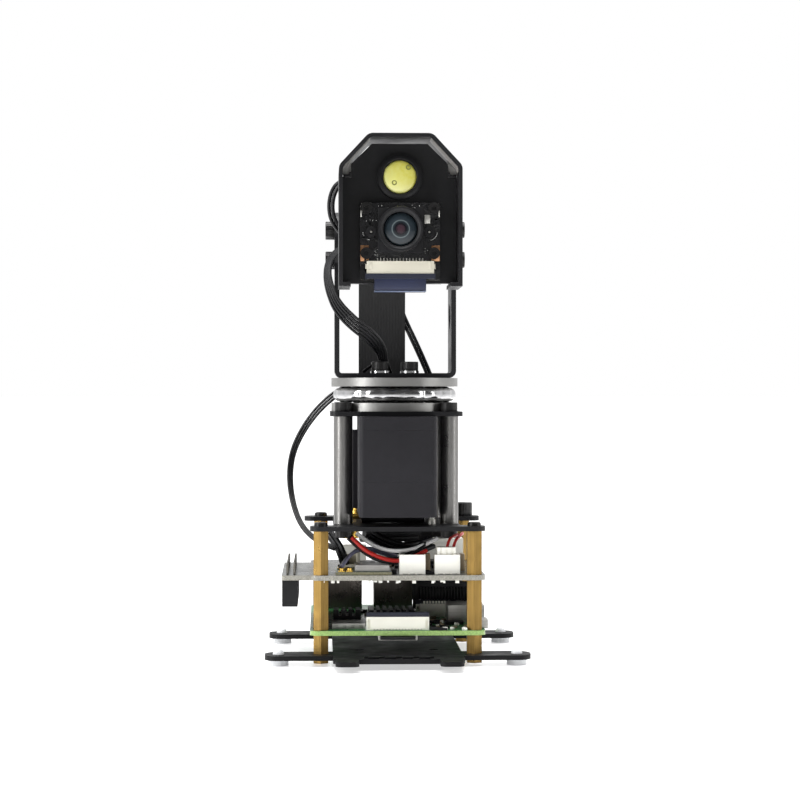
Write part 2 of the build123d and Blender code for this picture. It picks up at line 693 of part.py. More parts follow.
def lens():
    """Square holder with two ears, threaded barrel and glass."""
    front = CAMERA_FRONT
    holder = block(-6.9, 6.9, front - 3.0, front, LENS_Z - 7.2, LENS_Z + 6.6)
    for side in SIDES:
        ear = rod_y(front - 1.6, front, side * 9.0, LENS_Z - 0.6, 1.7)
        holder += ear - rod_y(front - 1.6, front - 0.8, side * 9.0, LENS_Z - 0.6, 0.7)
    holder -= rod_y(front - 3.0, front, 0, LENS_Z, 6.0)
    barrel = rod_y(HOOD_FRONT + 0.3, front - 3.0, 0, LENS_Z, 7.1) + rod_y(front - 3.0, front - 0.3, 0, LENS_Z, 5.95)
    barrel -= rod_y(HOOD_FRONT + 0.3, front - 3.6, 0, LENS_Z, 5.3)
    barrel -= rod_y(front - 3.6, front, 0, LENS_Z, 3.0)
    glass = rod_y(HOOD_FRONT + 1.0, front - 3.6, 0, LENS_Z, 5.25)
    dome = Pos(0, HOOD_FRONT + 1.0 + 8.6, LENS_Z) * Sphere(9.0) & rod_y(HOOD_FRONT, HOOD_FRONT + 1.0, 0, LENS_Z, 2.7)
    save("lens_holder", holder)
    save("lens_barrel", barrel)
    save("lens_glass", glass + dome)


def ribbon_connector():
    """The camera board's flat-cable connector at its lower edge, and its latch."""
    low, high = 123.4, 127.3
    front, back = CAMERA_FRONT - 2.6, CAMERA_FRONT
    body = block(-10.4, 10.4, front, back, low, high) - block(-8.4, 8.4, front + 0.8, front + 1.8, low, high - 1.0)
    latch = block(-10.8, 10.8, front - 0.3, front + 0.8, 121.8, low)
    for side in SIDES:
        arm = sorted((side * 9.6, side * 10.8))
        latch += block(*arm, front + 0.8, back - 0.4, 121.8, low)
    save("ribbon_connector", body)
    save("ribbon_latch", latch)


# Flat cable and leads

RIBBON_HALF = 8.0
RIBBON = 0.4


def side_strip(points, x0, x1):
    """A flat cable of constant X that follows an outline in the YZ plane."""
    line = Polyline(*[(x0, y, z) for y, z in points])
    line = line if len(points) < 3 else FilletPolyline(*[(x0, y, z) for y, z in points], radius=1.2)
    section = Plane(origin=line @ 0, x_dir=(1, 0, 0), z_dir=line % 0) * Rectangle(2 * RIBBON_HALF, RIBBON)
    return Pos((x1 - x0) / 2, 0, 0) * sweep(section, path=line)


def camera_ribbon():
    """From the camera board's connector down, then back under the head plate."""
    y = CAMERA_FRONT - 1.3
    return side_strip([(y, 122.9), (y, 118.4), (-37.0, 118.9)], -RIBBON_HALF, RIBBON_HALF)


def rising_strip(stations):
    """A flat cable that rises through level stations of (x, y, z)."""
    sections = [Pos(*station) * Rectangle(2 * RIBBON_HALF, RIBBON) for station in stations]
    return loft([section.face() for section in sections], ruled=True)


LOWER_RIBBON = [(17.6, 12.75, 12.2), (17.6, 12.75, 17.0), (17.4, 13.1, 20.8), (15.0, 20.0, 23.2),
                (13.5, 25.6, 24.4), (13.2, 31.4, 25.6), (13.2, 33.6, 28.0), (11.5, 34.2, 45.0), (4.0, 30.5, 62.0), (-2.0, 26.5, 76.0),
                (-3.5, 24.6, 86.0), (-3.5, 24.4, 92.8)]
UPPER_RIBBON = [(-3.5, 24.4, 94.2), (-3.5, 23.6, 104.0), (-3.0, 21.6, 114.0)]

MAIN_LEAD = [(-19.6, -24.2, 36.6), (-25.2, -21.5, 38.4), (-30.6, -15.0, 42.8), (-33.6, -7.0, 49.5),
             (-35.0, -1.5, 58.0), (-34.2, 2.5, 66.5), (-30.8, 7.5, 74.0), (-26.0, 14.0, 80.6),
             (-20.6, 19.6, 85.6), (-14.8, 25.4, 89.0), (-9.4, 29.0, 91.6)]
ARM_LEAD = [(-21.6, -12.2, 125.4), (-21.6, -12.6, 119.8), (-18.8, -12.4, 114.4), (-13.6, -10.8, 109.2),
            (-8.2, -8.4, 105.4), (-4.4, -4.0, 100.6), (-1.4, -0.6, 95.8), (-0.4, 0.0, 90.4)]
REAR_LEAD = [(12.8, 20.6, 94.6), (10.0, 20.2, 100.5), (6.4, 19.0, 107.0), (3.4, 17.6, 113.0)]
LAMP_LEAD = [(-13.0, -42.8, 152.0), (-13.4, -36.0, 153.2), (-15.2, -29.6, 154.2), (-19.2, -26.9, 153.6),
             (-21.6, -26.9, 149.4), (-21.8, -26.7, 144.6), (-20.2, -25.4, 140.6), (-17.5, -24.6, 138.0)]
WHITE_LEAD = [(-13.0, -21.0, 41.4), (-9.8, -22.0, 38.6), (-4.6, -23.4, 36.2), (1.6, -24.2, 35.6),
              (7.6, -23.8, 37.0), (13.2, -21.4, 39.6)]
RED_LEAD = [(-14.6, -24.8, 40.2), (-11.2, -25.8, 36.6), (-5.8, -26.8, 33.9), (-0.4, -27.2, 32.6)]
MAIN_D, ARM_D, LAMP_D, THIN_D = 2.4, 2.2, 2.4, 1.3


def leads():
    save("main_lead", bent_tube("main_lead", MAIN_LEAD, MAIN_D))
    save("tilt_leads", bent_tube("arm lead", ARM_LEAD, ARM_D), bent_tube("rear lead", REAR_LEAD, 2.1))
    save("lamp_lead", bent_tube("lamp_lead", LAMP_LEAD, LAMP_D))
    save("white_lead", bent_tube("white_lead", WHITE_LEAD, THIN_D))
    save("red_lead", bent_tube("red_lead", RED_LEAD, THIN_D))


def flat_cables():
    save("camera_ribbon", camera_ribbon())
    save("lower_ribbon", rising_strip(LOWER_RIBBON))
    save("upper_ribbon", rising_strip(UPPER_RIBBON))


def main():
    os.makedirs("parts", exist_ok=True)
    save("base_plate", base_plate())
    feet()
    standoffs()
    save("computer_board", computer_board())
    rear_ports()
    metal_ports()
    save("memory_card", memory_card())
    flat_cable_ports()
    radio_shields()
    heat_sinks()
    board_chips()
    save("driver_board", driver_board())
    board_sockets()
    board_pins()
    save("radio_module", radio_module())
    driver_sockets()
    save("servo_plug", servo_plug())
    save("middle_deck", middle_deck())
    save("top_deck", top_deck())
    posts()
    deck_screws()
    aerial_sockets()
    pan_servo()
    save("bearing_lower_washer", bearing_washer(DECK_TOP, LOWER_WASHER_TOP))
    save("bearing_upper_washer", bearing_washer(UPPER_WASHER_BOTTOM, BEARING_TOP))
    save("bearing_cage", bearing_cage())
    bearing_balls()
    save("pan_coupler", pan_coupler())
    save("yoke", yoke())
    yoke_fasteners()
    tilt_horns()
    tilt_servo()
    save("hood", hood())
    save("head_plate", head_plate())
    save("head_bracket", head_bracket())
    lamp()
    save("camera_board", camera_board())
    camera_screws()
    lens()
    ribbon_connector()
    leads()
    flat_cables()


main()
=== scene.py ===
import json
import math
import random

import bmesh
import bpy
from mathutils import Matrix, Vector


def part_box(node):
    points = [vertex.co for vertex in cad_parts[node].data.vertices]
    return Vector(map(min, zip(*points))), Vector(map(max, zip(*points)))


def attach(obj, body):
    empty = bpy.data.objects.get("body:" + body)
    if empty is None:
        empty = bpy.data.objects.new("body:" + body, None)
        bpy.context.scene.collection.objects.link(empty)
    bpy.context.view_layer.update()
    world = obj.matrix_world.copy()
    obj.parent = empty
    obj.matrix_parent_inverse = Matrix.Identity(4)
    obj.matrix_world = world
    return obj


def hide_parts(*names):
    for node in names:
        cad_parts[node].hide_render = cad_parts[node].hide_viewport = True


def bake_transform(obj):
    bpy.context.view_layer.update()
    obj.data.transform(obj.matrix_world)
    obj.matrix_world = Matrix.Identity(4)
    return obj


# The looks of the pan-tilt camera tower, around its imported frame. Sizes below are in millimetres, and MM
# turns them into metres, except where a name ends in _m.
MM = 0.001

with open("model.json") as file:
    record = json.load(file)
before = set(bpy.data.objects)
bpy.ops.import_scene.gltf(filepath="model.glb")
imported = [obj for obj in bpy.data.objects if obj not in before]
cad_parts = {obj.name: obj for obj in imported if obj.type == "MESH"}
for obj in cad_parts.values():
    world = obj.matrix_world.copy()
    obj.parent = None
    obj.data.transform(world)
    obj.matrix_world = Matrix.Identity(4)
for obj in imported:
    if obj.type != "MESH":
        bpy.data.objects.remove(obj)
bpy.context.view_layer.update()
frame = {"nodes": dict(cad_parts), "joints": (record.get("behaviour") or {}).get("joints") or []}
nodes = frame["nodes"]
TILT_Z = next(joint["pos_m"][2] for joint in frame["joints"] if joint["name"] == "tilt") / MM


def corners_mm(node):
    """The lowest and highest corner of a CAD node, in millimetres."""
    low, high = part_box(node)
    return low / MM, high / MM


def placed(name, data):
    """A new object in the scene."""
    thing = bpy.data.objects.new(name, data)
    bpy.context.scene.collection.objects.link(thing)
    return thing


# Camera, lights and floor

CAMERA_DISTANCE = 700.0
CAMERA_HEIGHT = 86.0
CAMERA_AZIMUTH = math.radians(-2.0)
LENS = 94.5
SHIFT_X, SHIFT_Y = 0.0069, -0.0063


def make_camera():
    data = bpy.data.cameras.new("camera")
    data.lens = LENS
    data.sensor_width = 36.0
    data.shift_x = SHIFT_X
    data.shift_y = SHIFT_Y
    data.clip_start = 10.0 * MM
    camera = placed("camera", data)
    x = CAMERA_DISTANCE * math.sin(CAMERA_AZIMUTH)
    y = -CAMERA_DISTANCE * math.cos(CAMERA_AZIMUTH)
    camera.location = Vector((x, y, CAMERA_HEIGHT)) * MM
    camera.rotation_euler = (math.radians(90), 0, CAMERA_AZIMUTH)
    bpy.context.scene.camera = camera


def area_light(name, place, target, size, power):
    data = bpy.data.lights.new(name, "AREA")
    data.energy = power
    data.shape = "RECTANGLE"
    data.size, data.size_y = size[0] * MM, size[1] * MM
    light = placed(name, data)
    light.location = Vector(place) * MM
    aim = Vector(target) * MM - light.location
    light.rotation_euler = aim.to_track_quat("-Z", "Y").to_euler()


FRONT_DIM = 0.10


def studio_world():
    """A room that is dim in front of the object and white elsewhere. The camera sees it all white."""
    world = bpy.data.worlds.new("studio")
    bpy.context.scene.world = world
    world.use_nodes = True
    tree = world.node_tree
    place = tree.nodes.new("ShaderNodeTexCoord")
    split = tree.nodes.new("ShaderNodeSeparateXYZ")
    tree.links.new(place.outputs["Generated"], split.inputs["Vector"])
    ramp = tree.nodes.new("ShaderNodeMapRange")
    ramp.interpolation_type = "SMOOTHSTEP"
    ramp.inputs["From Min"].default_value = -0.55
    ramp.inputs["From Max"].default_value = 0.25
    ramp.inputs["To Min"].default_value = FRONT_DIM
    ramp.inputs["To Max"].default_value = 1.0
    tree.links.new(split.outputs["Y"], ramp.inputs["Value"])
    seen = tree.nodes.new("ShaderNodeLightPath")
    either = tree.nodes.new("ShaderNodeMath")
    either.operation = "MAXIMUM"
    tree.links.new(ramp.outputs["Result"], either.inputs[0])
    tree.links.new(seen.outputs["Is Camera Ray"], either.inputs[1])
    tree.links.new(either.outputs["Value"], tree.nodes["Background"].inputs["Strength"])
    tree.nodes["Background"].inputs["Color"].default_value = (1, 1, 1, 1)


def make_stage():
    area_light("key", (-620, -330, 330), (0, 0, 90), (160, 620), 4.2)
    area_light("top", (0, -40, 620), (0, 0, 60), (460, 460), 6.0)
    area_light("fill", (640, -260, 200), (0, 0, 80), (120, 560), 1.2)
    studio_world()
    bpy.context.scene.view_settings.view_transform = "Standard"
    mesh = bpy.data.meshes.new("floor")
    half_m = 60.0
    corners = [(-half_m, -half_m, 0), (half_m, -half_m, 0), (half_m, half_m, 0), (-half_m, half_m, 0)]
    mesh.from_pydata(corners, [], [(0, 1, 2, 3)])
    floor = placed("floor", mesh)
    finish = bpy.data.materials.new("floor")
    finish.use_nodes = True
    shader = finish.node_tree.nodes["Principled BSDF"]
    shader.inputs["Base Color"].default_value = (1.0, 1.0, 1.0, 1)
    shader.inputs["Roughness"].default_value = 0.16
    shader.inputs["Specular IOR Level"].default_value = 0.35
    shader.inputs["Emission Color"].default_value = (1, 1, 1, 1)
    shader.inputs["Emission Strength"].default_value = 0.5
    floor.data.materials.append(finish)


# Materials

class Nodes:
    """A short way to add and join shader nodes of one material."""

    def __init__(self, name):
        self.material = bpy.data.materials.new(name)
        self.material.use_nodes = True
        self.tree = self.material.node_tree
        self.shader = self.tree.nodes["Principled BSDF"]
        self.place = self.add("ShaderNodeTexCoord").outputs

    def add(self, kind, **values):
        node = self.tree.nodes.new(kind)
        for key, value in values.items():
            setattr(node, key, value)
        return node

    def join(self, source, target):
        self.tree.links.new(source, target)

    def axes(self, space):
        """The X, Y and Z of a texture coordinate."""
        node = self.add("ShaderNodeSeparateXYZ")
        self.join(self.place[space], node.inputs["Vector"])
        return node.outputs

    def maths(self, operation, *sources):
        node = self.add("ShaderNodeMath", operation=operation)
        for source, socket in zip(sources, node.inputs):
            self.join(source, socket)
        return node.outputs[0]

    def noise(self, scale, detail=4.0, stretch=None, rough=0.55):
        """Noise of about one feature for each 1/scale metres, drawn out along an axis by stretch."""
        node = self.add("ShaderNodeTexNoise")
        node.inputs["Scale"].default_value = scale
        node.inputs["Detail"].default_value = detail
        node.inputs["Roughness"].default_value = rough
        source = self.place["Object"]
        if stretch:
            mapping = self.add("ShaderNodeMapping")
            mapping.inputs["Scale"].default_value = stretch
            self.join(source, mapping.inputs["Vector"])
            source = mapping.outputs["Vector"]
        self.join(source, node.inputs["Vector"])
        return node.outputs["Fac"]

    def range(self, source, low, high, start=0.3, end=0.7):
        node = self.add("ShaderNodeMapRange")
        node.inputs["From Min"].default_value = start
        node.inputs["From Max"].default_value = end
        node.inputs["To Min"].default_value = low
        node.inputs["To Max"].default_value = high
        self.join(source, node.inputs["Value"])
        return node.outputs["Result"]

    def mix(self, factor, first, second):
        """A colour between two, each a triple or a socket."""
        node = self.add("ShaderNodeMix", data_type="RGBA")
        self.join(factor, node.inputs[0])
        for socket, value in ((node.inputs[6], first), (node.inputs[7], second)):
            if isinstance(value, bpy.types.NodeSocket):
                self.join(value, socket)
            else:
                socket.default_value = (*value, 1)
        return node.outputs[2]

    def paint(self, colour):
        self.join(colour, self.shader.inputs["Base Color"])

    def roughen(self, scale, detail, low, high):
        """Roughness that wanders between two values."""
        self.join(self.range(self.noise(scale, detail), low, high), self.shader.inputs["Roughness"])

    def relief(self, height, distance, strength=1.0, bevel=0.12):
        """Bump over edges that are softened by a small radius."""
        soft = self.add("ShaderNodeBevel", samples=4)
        soft.inputs["Radius"].default_value = bevel * MM
        bump = self.add("ShaderNodeBump")
        bump.inputs["Distance"].default_value = distance * MM
        bump.inputs["Strength"].default_value = strength
        self.join(height, bump.inputs["Height"])
        self.join(soft.outputs["Normal"], bump.inputs["Normal"])
        self.join(bump.outputs["Normal"], self.shader.inputs["Normal"])

    def flat(self, **values):
        for key, value in values.items():
            self.shader.inputs[key.replace("_", " ")].default_value = value


def shade(colour, share):
    return tuple(min(1.0, part * share) for part in colour)


def coated(name, colour, rough, spread=0.25, grain=900.0, height=0.02, metal=0.0, gloss=0.5, bevel=0.12):
    """A moulded, painted or anodised surface: cloudy colour, fingerprints in its gloss and fine grain."""
    m = Nodes(name)
    cloud = m.noise(70.0, 5.0)
    m.paint(m.mix(m.range(cloud, 0, 1), shade(colour, 1 - spread), shade(colour, 1 + spread)))
    m.roughen(160.0, 6.0, rough * 0.8, min(1.0, rough * 1.25))
    m.flat(Metallic=metal, Specular_IOR_Level=gloss)
    m.relief(m.noise(grain, 3.0), height, 0.6, bevel)
    return m.material


def brushed(name, colour, rough, stretch, height=0.01, spread=0.12, bevel=0.12):
    """Metal with fine lines along the axis where stretch is smallest."""
    m = Nodes(name)
    lines = m.noise(1.0, 3.0, stretch)
    m.paint(m.mix(m.range(lines, 0, 1), shade(colour, 1 - spread), shade(colour, 1 + spread)))
    m.roughen(220.0, 4.0, rough * 0.75, rough * 1.3)
    m.flat(Metallic=1.0)
    m.relief(lines, height, 0.5, bevel)
    return m.material


def printed_board(name, mask, edge, trace, axis="Z", gloss=0.28):
    """A circuit board: solder mask with thin traces and pads on its faces, bare fibre at its edges."""
    m = Nodes(name)
    face = m.range(m.maths("ABSOLUTE", m.axes("Normal")[axis]), 0, 1, 0.45, 0.55)
    cells = m.add("ShaderNodeTexVoronoi", feature="DISTANCE_TO_EDGE", distance="CHEBYCHEV")
    cells.inputs["Scale"].default_value = 420.0
    m.join(m.place["Object"], cells.inputs["Vector"])
    lines = m.range(cells.outputs["Distance"], 1, 0, 0.03, 0.06)
    some = m.maths("MULTIPLY", lines, m.range(m.noise(90.0, 2.0), 0, 1, 0.5, 0.54))
    top = m.mix(some, mask, trace)
    fibre = m.mix(m.range(m.noise(2600.0, 2.0), 0, 1), shade(edge, 0.72), shade(edge, 1.18))
    m.paint(m.mix(face, fibre, top))
    m.roughen(300.0, 4.0, gloss * 0.8, gloss * 1.3)
    m.relief(some, 0.03, 0.5, 0.08)
    return m.material


def lamp_material():
    """Yellow phosphor under a clear dome, with a painted glow that brightens it towards its lower left edge.
    """
    m = Nodes("lamp")
    place = m.axes("Object")
    reach = 4.5
    # Painted glow: the colour shifts to a lighter yellow towards the lower left of the dome.
    left = m.range(place["X"], 0.5, 0.0, -reach * MM, reach * MM)
    low = m.range(place["Z"], 0.5, 0.0, (LAMP_Z - reach) * MM, (LAMP_Z + reach) * MM)
    painted_glow = m.range(m.maths("ADD", left, low), 0, 1, 0.35, 0.95)
    body = m.mix(painted_glow, (0.68, 0.63, 0.10), (0.97, 0.96, 0.36))
    speckle = m.range(m.noise(900.0, 3.0), 0.0, 0.35)
    m.paint(m.mix(speckle, body, (0.80, 0.82, 0.32)))
    m.flat(Roughness=0.22, Coat_Weight=0.8, Coat_Roughness=0.04, Subsurface_Weight=0.2)
    m.shader.inputs["Subsurface Radius"].default_value = (0.001, 0.001, 0.0004)
    m.relief(m.noise(700.0, 2.0), 0.05, 0.4)
    return m.material


def lens_material():
    """Coated glass: rings of deep blue, grey and violet around a pink centre."""
    m = Nodes("coated_glass")
    away = m.add("ShaderNodeVectorMath", operation="DISTANCE")
    m.join(m.place["Object"], away.inputs[0])
    away.inputs[1].default_value = (0.0, LENS_FRONT * MM, LENS_Z * MM)
    ramp = m.add("ShaderNodeValToRGB")
    m.join(m.range(away.outputs["Value"], 0, 1, 0.0, 5.6 * MM), ramp.inputs["Fac"])
    stops = ((0.0, (0.045, 0.022, 0.030)), (0.2, (0.030, 0.018, 0.024)), (0.30, (0.005, 0.005, 0.007)),
             (0.44, (0.016, 0.022, 0.027)), (0.49, (0.11, 0.135, 0.14)), (0.53, (0.020, 0.026, 0.032)),
             (0.8, (0.012, 0.019, 0.024)), (1.0, (0.004, 0.006, 0.008)))
    points = ramp.color_ramp.elements
    while len(points) < len(stops):
        points.new(0.5)
    for point, (place, colour) in zip(points, stops):
        point.position = place
        point.color = (*colour, 1)
    m.paint(ramp.outputs["Color"])
    m.flat(Roughness=0.12, Specular_IOR_Level=0.35)
    m.relief(m.noise(90.0, 1.0), 0.01, 0.2)
    return m.material


def striped(name, colour, pitch_mm, rough=0.34):
    """A flat cable: its parallel conductors show as faint stripes."""
    m = Nodes(name)
    wave = m.add("ShaderNodeTexWave", bands_direction="X")
    wave.inputs["Scale"].default_value = 2 * math.pi / (20 * pitch_mm * MM)
    m.join(m.place["Object"], wave.inputs["Vector"])
    stripe = m.range(wave.outputs["Fac"], 0, 1, 0.2, 0.8)
    m.paint(m.mix(stripe, shade(colour, 0.85), shade(colour, 1.2)))
    m.roughen(120.0, 4.0, rough * 0.8, rough * 1.3)
    m.relief(stripe, 0.04, 0.6, 0.05)
    return m.material


LENS_Z = sum(corner.z for corner in corners_mm("lens_barrel")) / 2
LENS_FRONT = corners_mm("lens_barrel")[0].y
LAMP_Z = sum(corner.z for corner in corners_mm("lamp_lens")) / 2

ALONG_Z = (2600.0, 2600.0, 60.0)
ALONG_X = (60.0, 2600.0, 2600.0)

LOOK = {
    "anodised": coated("anodised", (0.005, 0.005, 0.0055), 0.50, height=0.012, gloss=0.16),
    "sheet": coated("sheet", (0.0075, 0.0075, 0.0085), 0.40, height=0.02, gloss=0.3),
    # A lighter grey sheet: painted reflection of the bright floor on the undersides of the hood's chamfers.
    "sheet_painted_reflection": coated("sheet_painted_reflection", (0.22, 0.21, 0.20), 0.45, spread=0.2, height=0.02),
    "deck": coated("deck", (0.005, 0.005, 0.006), 0.45, height=0.008, gloss=0.25),
    "nylon": coated("nylon", (0.76, 0.77, 0.79), 0.42, spread=0.06, height=0.02),
    "brass": brushed("brass", (0.165, 0.104, 0.032), 0.35, ALONG_Z, spread=0.22),
    "gold": coated("gold", (0.62, 0.40, 0.09), 0.24, spread=0.1, metal=1.0, height=0.004),
    "computer_pcb": printed_board("computer_pcb", (0.02, 0.14, 0.035), (0.29, 0.46, 0.13),
                                  (0.07, 0.26, 0.07)),
    "driver_pcb": printed_board("driver_pcb", (0.05, 0.055, 0.05), (0.27, 0.26, 0.225), (0.16, 0.15, 0.12)),
    "module_pcb": printed_board("module_pcb", (0.04, 0.09, 0.06), (0.34, 0.32, 0.20), (0.30, 0.28, 0.16)),
    "camera_pcb": printed_board("camera_pcb", (0.006, 0.006, 0.007), (0.05, 0.045, 0.03), (0.02, 0.02, 0.02),
                                axis="Y", gloss=0.26),
    "tin": brushed("tin", (0.40, 0.39, 0.37), 0.40, ALONG_X),
    "port_metal": brushed("port_metal", (0.17, 0.15, 0.135), 0.3, ALONG_Z),
    "ivory": coated("ivory", (0.52, 0.495, 0.41), 0.42, spread=0.05, height=0.01),
    "white": coated("white", (0.90, 0.89, 0.82), 0.40, spread=0.03, height=0.01),
    "black_plastic": coated("black_plastic", (0.008, 0.008, 0.009), 0.45, height=0.02, gloss=0.22),
    "slate": coated("slate", (0.014, 0.016, 0.028), 0.42, height=0.01, gloss=0.3),
    "sink": coated("sink", (0.012, 0.012, 0.013), 0.45, metal=0.3, height=0.01),
    "oxide": coated("oxide", (0.012, 0.0115, 0.0115), 0.36, metal=0.5, height=0.012, bevel=0.06),
    "steel": brushed("steel", (0.20, 0.196, 0.19), 0.36, ALONG_Z, height=0.004),
    "bright_steel": coated("bright_steel", (0.47, 0.47, 0.475), 0.17, spread=0.1, metal=1.0, height=0.006),
    "washer_steel": coated("washer_steel", (0.25, 0.248, 0.24), 0.38, spread=0.14, metal=1.0, height=0.008),
    "servo": coated("servo", (0.0105, 0.0100, 0.0125), 0.52, spread=0.12, grain=2200.0, gloss=0.22,
                    bevel=0.3),
    "lamp": lamp_material(),
    "coated_glass": lens_material(),
    "rubber": coated("rubber", (0.006, 0.006, 0.007), 0.38, height=0.015, gloss=0.24),
    "white_lead": coated("white_lead", (0.66, 0.66, 0.66), 0.36, spread=0.06, height=0.01),
    "red_lead": coated("red_lead", (0.40, 0.016, 0.012), 0.34, spread=0.15, height=0.01),
    "lilac_lead": coated("lilac_lead", (0.13, 0.13, 0.19), 0.34, spread=0.2, height=0.01),
    "navy": coated("navy", (0.009, 0.013, 0.038), 0.34, height=0.006, gloss=0.35),
    "navy_edge": coated("navy_edge", (0.16, 0.20, 0.30), 0.4, height=0.004),
    "black_flat": striped("black_flat", (0.0045, 0.0045, 0.005), 1.0, 0.5),
    "lamp_pad": coated("lamp_pad", (0.30, 0.31, 0.05), 0.35, spread=0.15, height=0.01),
    "cream": coated("cream", (0.86, 0.84, 0.75), 0.40, spread=0.04, height=0.01),
    # A light grey for slabs on the hood's tabs: painted light on tabs that sit in shade.
    "tab_painted_light": coated("tab_painted_light", (0.60, 0.59, 0.57), 0.45, spread=0.12, height=0.02),
    "copper": coated("copper", (0.46, 0.24, 0.12), 0.36, spread=0.15, metal=0.7, height=0.01),
    "silver": coated("silver", (0.56, 0.55, 0.51), 0.34, spread=0.12, metal=0.6, height=0.01),
    "dark_pins": coated("dark_pins", (0.16, 0.15, 0.13), 0.3, metal=0.8, height=0.01),
    "ink": coated("ink", (0.60, 0.60, 0.58), 0.5, spread=0.1, height=0.01),
    "tan_part": coated("tan_part", (0.30, 0.235, 0.15), 0.4, height=0.01),
}

CAD_LOOKS = {
    "base_plate": "anodised", "foot_pads": "nylon", "foot_rivets": "nylon", "standoffs": "brass",
    "computer_board": "computer_pcb", "rear_ports": "port_metal", "metal_ports": "tin",
    "memory_card": "black_plastic", "flat_cable_ports": "cream", "flat_cable_latches": "slate",
    "radio_shields": "tin", "heat_sinks": "sink", "board_chips": "black_plastic",
    "driver_board": "driver_pcb", "board_sockets": "black_plastic", "board_pins": "dark_pins",
    "radio_module": "module_pcb",
    "driver_sockets": "white", "servo_plug": "white", "middle_deck": "deck", "top_deck": "deck",
    "posts": "steel", "aerial_sockets": "gold", "pan_servo_case": "servo", "pan_servo_covers": "servo",
    "pan_servo_motor": "steel", "bearing_lower_washer": "washer_steel",
    "bearing_upper_washer": "washer_steel", "bearing_balls": "bright_steel", "pan_coupler": "sink",
    "yoke": "sheet", "yoke_washers": "bright_steel",
    "tilt_horns": "sink", "tilt_servo_case": "servo", "tilt_servo_covers": "servo",
    "tilt_servo_motor": "steel", "head_bracket": "sheet", "head_plate": "sheet", "hood": "sheet",
    "lamp_bezel": "black_plastic", "camera_board": "camera_pcb", "camera_screws": "oxide",
    "lens_holder": "black_plastic", "ribbon_connector": "ivory", "ribbon_latch": "slate",
}


def dress_frame():
    for name, look in CAD_LOOKS.items():
        data = nodes[name].data
        data.materials.clear()
        data.materials.append(LOOK[look])


# Pieces in mesh code

